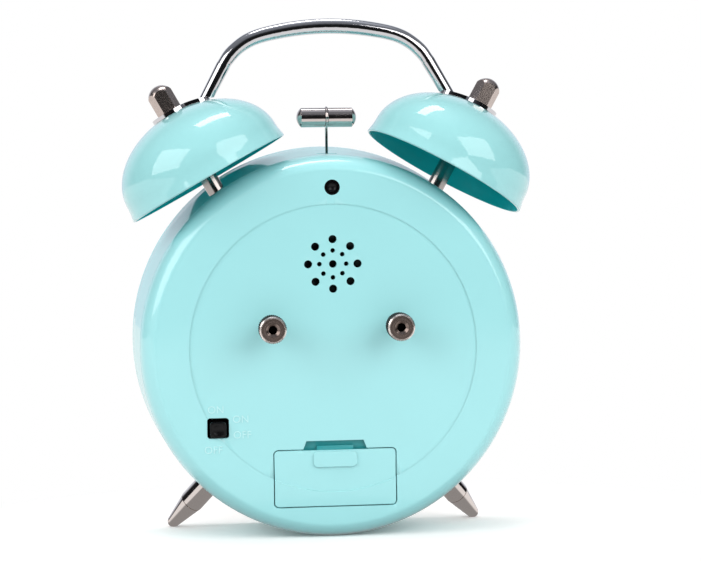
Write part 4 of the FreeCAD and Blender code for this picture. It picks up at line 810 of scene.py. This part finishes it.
# And how bright it gets with height, by the sine of the height.
ROOM_RISE = ((0.2, 0.02), (0.42, 0.08), (0.6, 0.26), (0.85, 0.34), (0.96, 0.7))
ROOM_TURN = (-0.85, -0.45)              # the white beyond the dial starts over these directions
AIR_FACES = 0.42                        # soft light from before and behind, on cover and dial
AIR_FILL = 0.3                          # soft light from level
AIR_ABOVE = 0.55                        # and from overhead


def seen_by(tree, *kinds):
    """1 for rays of these kinds, 0 for light that only bounces."""
    ray = put(tree, "ShaderNodeLightPath").outputs
    seen = ray[kinds[0]]
    for kind in kinds[1:]:
        seen = maths(tree, "MAXIMUM", seen, ray[kind])
    return seen


def blend(tree, share, first, second):
    """Output of a node that mixes two shaders."""
    return put(tree, "ShaderNodeMixShader", {0: share, 1: first, 2: second}).outputs[0]


def emission(tree, strength):
    return put(tree, "ShaderNodeEmission", {"Color": WHITE_LIGHT, "Strength": strength}).outputs[0]


def air(tree, colour, strength):
    return put(tree, "ShaderNodeBackground", {"Color": colour, "Strength": strength}).outputs[0]


def diffuse(tree, colour):
    return put(tree, "ShaderNodeBsdfDiffuse", {"Color": colour}).outputs[0]


def studio_floor():
    """White sheet: lit near the object so that it keeps its shadow, plain white further out."""
    mesh = bpy.data.meshes.new("floor")
    corners = [(-1, -1), (1, -1), (1, 1), (-1, 1)]
    mesh.from_pydata([(x * FLOOR_REACH, y * FLOOR_REACH, 0) for x, y in corners],
                     [], [(0, 1, 2, 3)])
    floor = placed("floor", mesh)
    paper = bpy.data.materials.new("white_paper_floor")
    paper.use_nodes = True
    tree = paper.node_tree
    tree.nodes.clear()
    soft = {"interpolation_type": "SMOOTHSTEP"}
    place = put(tree, "ShaderNodeTexCoord").outputs["Object"]
    distance = put(tree, "ShaderNodeVectorMath", {0: place}, operation="LENGTH").outputs["Value"]
    far = mapped(tree, distance, LIT_TO_WHITE, **soft)
    near = put(tree, "ShaderNodeAddShader",
               {0: diffuse(tree, FLOOR_WHITE), 1: emission(tree, FLOOR_GLOW)}).outputs[0]
    edge = mapped(tree, split(tree, place)[1], FLOOR_TO_ROOM, (1.0, ROOM_DARK), **soft)
    under = mapped(tree, distance, UNDER_TO_OPEN, (FLOOR_UNDER, 1.0), **soft)
    reflected = emission(tree, maths(tree, "MULTIPLY", edge, under))
    straight = blend(tree, far, near, emission(tree, 1.0))
    seen = blend(tree, seen_by(tree, "Is Glossy Ray"), straight, reflected)
    direct = seen_by(tree, "Is Camera Ray", "Is Glossy Ray", "Is Transmission Ray")
    shown = blend(tree, direct, diffuse(tree, linear(FLOOR_PLAIN)), seen)
    put(tree, "ShaderNodeOutputMaterial", {"Surface": shown})
    mesh.materials.append(paper)


def studio_air():
    """White all round to the eye. In mirrors the room behind the cover is dark below and bright
    above, and it's white beyond the dial."""
    world = bpy.data.worlds.new("studio_air")
    bpy.context.scene.world = world
    world.use_nodes = True
    tree = world.node_tree
    tree.nodes.clear()
    side = split(tree, put(tree, "ShaderNodeTexCoord").outputs["Generated"])
    rise = put(tree, "ShaderNodeFloatCurve", {"Value": side[2]})
    line = rise.mapping.curves[0]
    line.points[0].location, line.points[-1].location = (0.0, ROOM_DARK), (1.0, 1.0)
    for height, brightness in ROOM_RISE:
        line.points.new(height, brightness)
    rise.mapping.update()
    beyond = mapped(tree, side[1], ROOM_TURN, (1.0, 0.0), interpolation_type="SMOOTHSTEP")
    room = maths(tree, "MAXIMUM", beyond, rise.outputs[0])
    fill = mapped(tree, side[2], (0.0, 1.0), (AIR_FILL, AIR_ABOVE))
    facing = maths(tree, "MULTIPLY", maths(tree, "ABSOLUTE", side[1]), AIR_FACES)
    soft = air(tree, WHITE_LIGHT, maths(tree, "ADD", fill, facing))
    mirror = air(tree, linear(ROOM_TINT), room)
    bounced = blend(tree, seen_by(tree, "Is Glossy Ray"), soft, mirror)
    direct = seen_by(tree, "Is Camera Ray", "Is Transmission Ray")
    seen = blend(tree, direct, bounced, air(tree, WHITE_LIGHT, 1.0))
    put(tree, "ShaderNodeOutputWorld", {"Surface": seen})


def lamp(name, azimuth, elevation, distance, width, height, radiance):
    """Soft box round the clock's middle: even light, its azimuth from the rear to the left."""
    light = bpy.data.lights.new(name, "AREA")
    light.shape = "RECTANGLE"
    light.size, light.size_y = width, height
    light.energy = radiance * width * height * math.pi
    box = placed(name, light)
    turned, rise = math.radians(azimuth), math.radians(elevation)
    outwards = Vector((math.sin(turned) * math.cos(rise), math.cos(turned) * math.cos(rise),
                       math.sin(rise)))
    box.matrix_world = (Matrix.Translation(CENTRE + outwards * distance)
                        @ outwards.to_track_quat("Z", "Y").to_matrix().to_4x4())


def camera():
    """Long lens behind the clock, a little to its left and above the middle of the cover."""
    lens = bpy.data.cameras.new("camera")
    lens.sensor_width = 36.0
    lens.lens = 101.913
    lens.clip_start, lens.clip_end = 0.01, 50.0
    eye = placed("camera", lens)
    middle = on_drum(58.42, 595.70, 65.59)
    right = along(-0.994178, 0.107137, -0.011479)
    up = along(-0.019420, -0.073371, 0.997115)
    back = along(0.105986, 0.991533, 0.075024)
    eye.matrix_world = laid(middle, right, up, back)
    bpy.context.scene.camera = eye


studio_floor()
studio_air()
lamp("soft_box_left", 60, 23, 1.15, 0.95, 0.75, 2.6)
lamp("soft_box_right", -40, 24, 1.15, 0.95, 0.75, 2.6)
lamp("soft_box_top", 150, 82, 1.1, 0.6, 0.22, 6.0)
camera()

bpy.context.scene.view_settings.view_transform = "Standard"
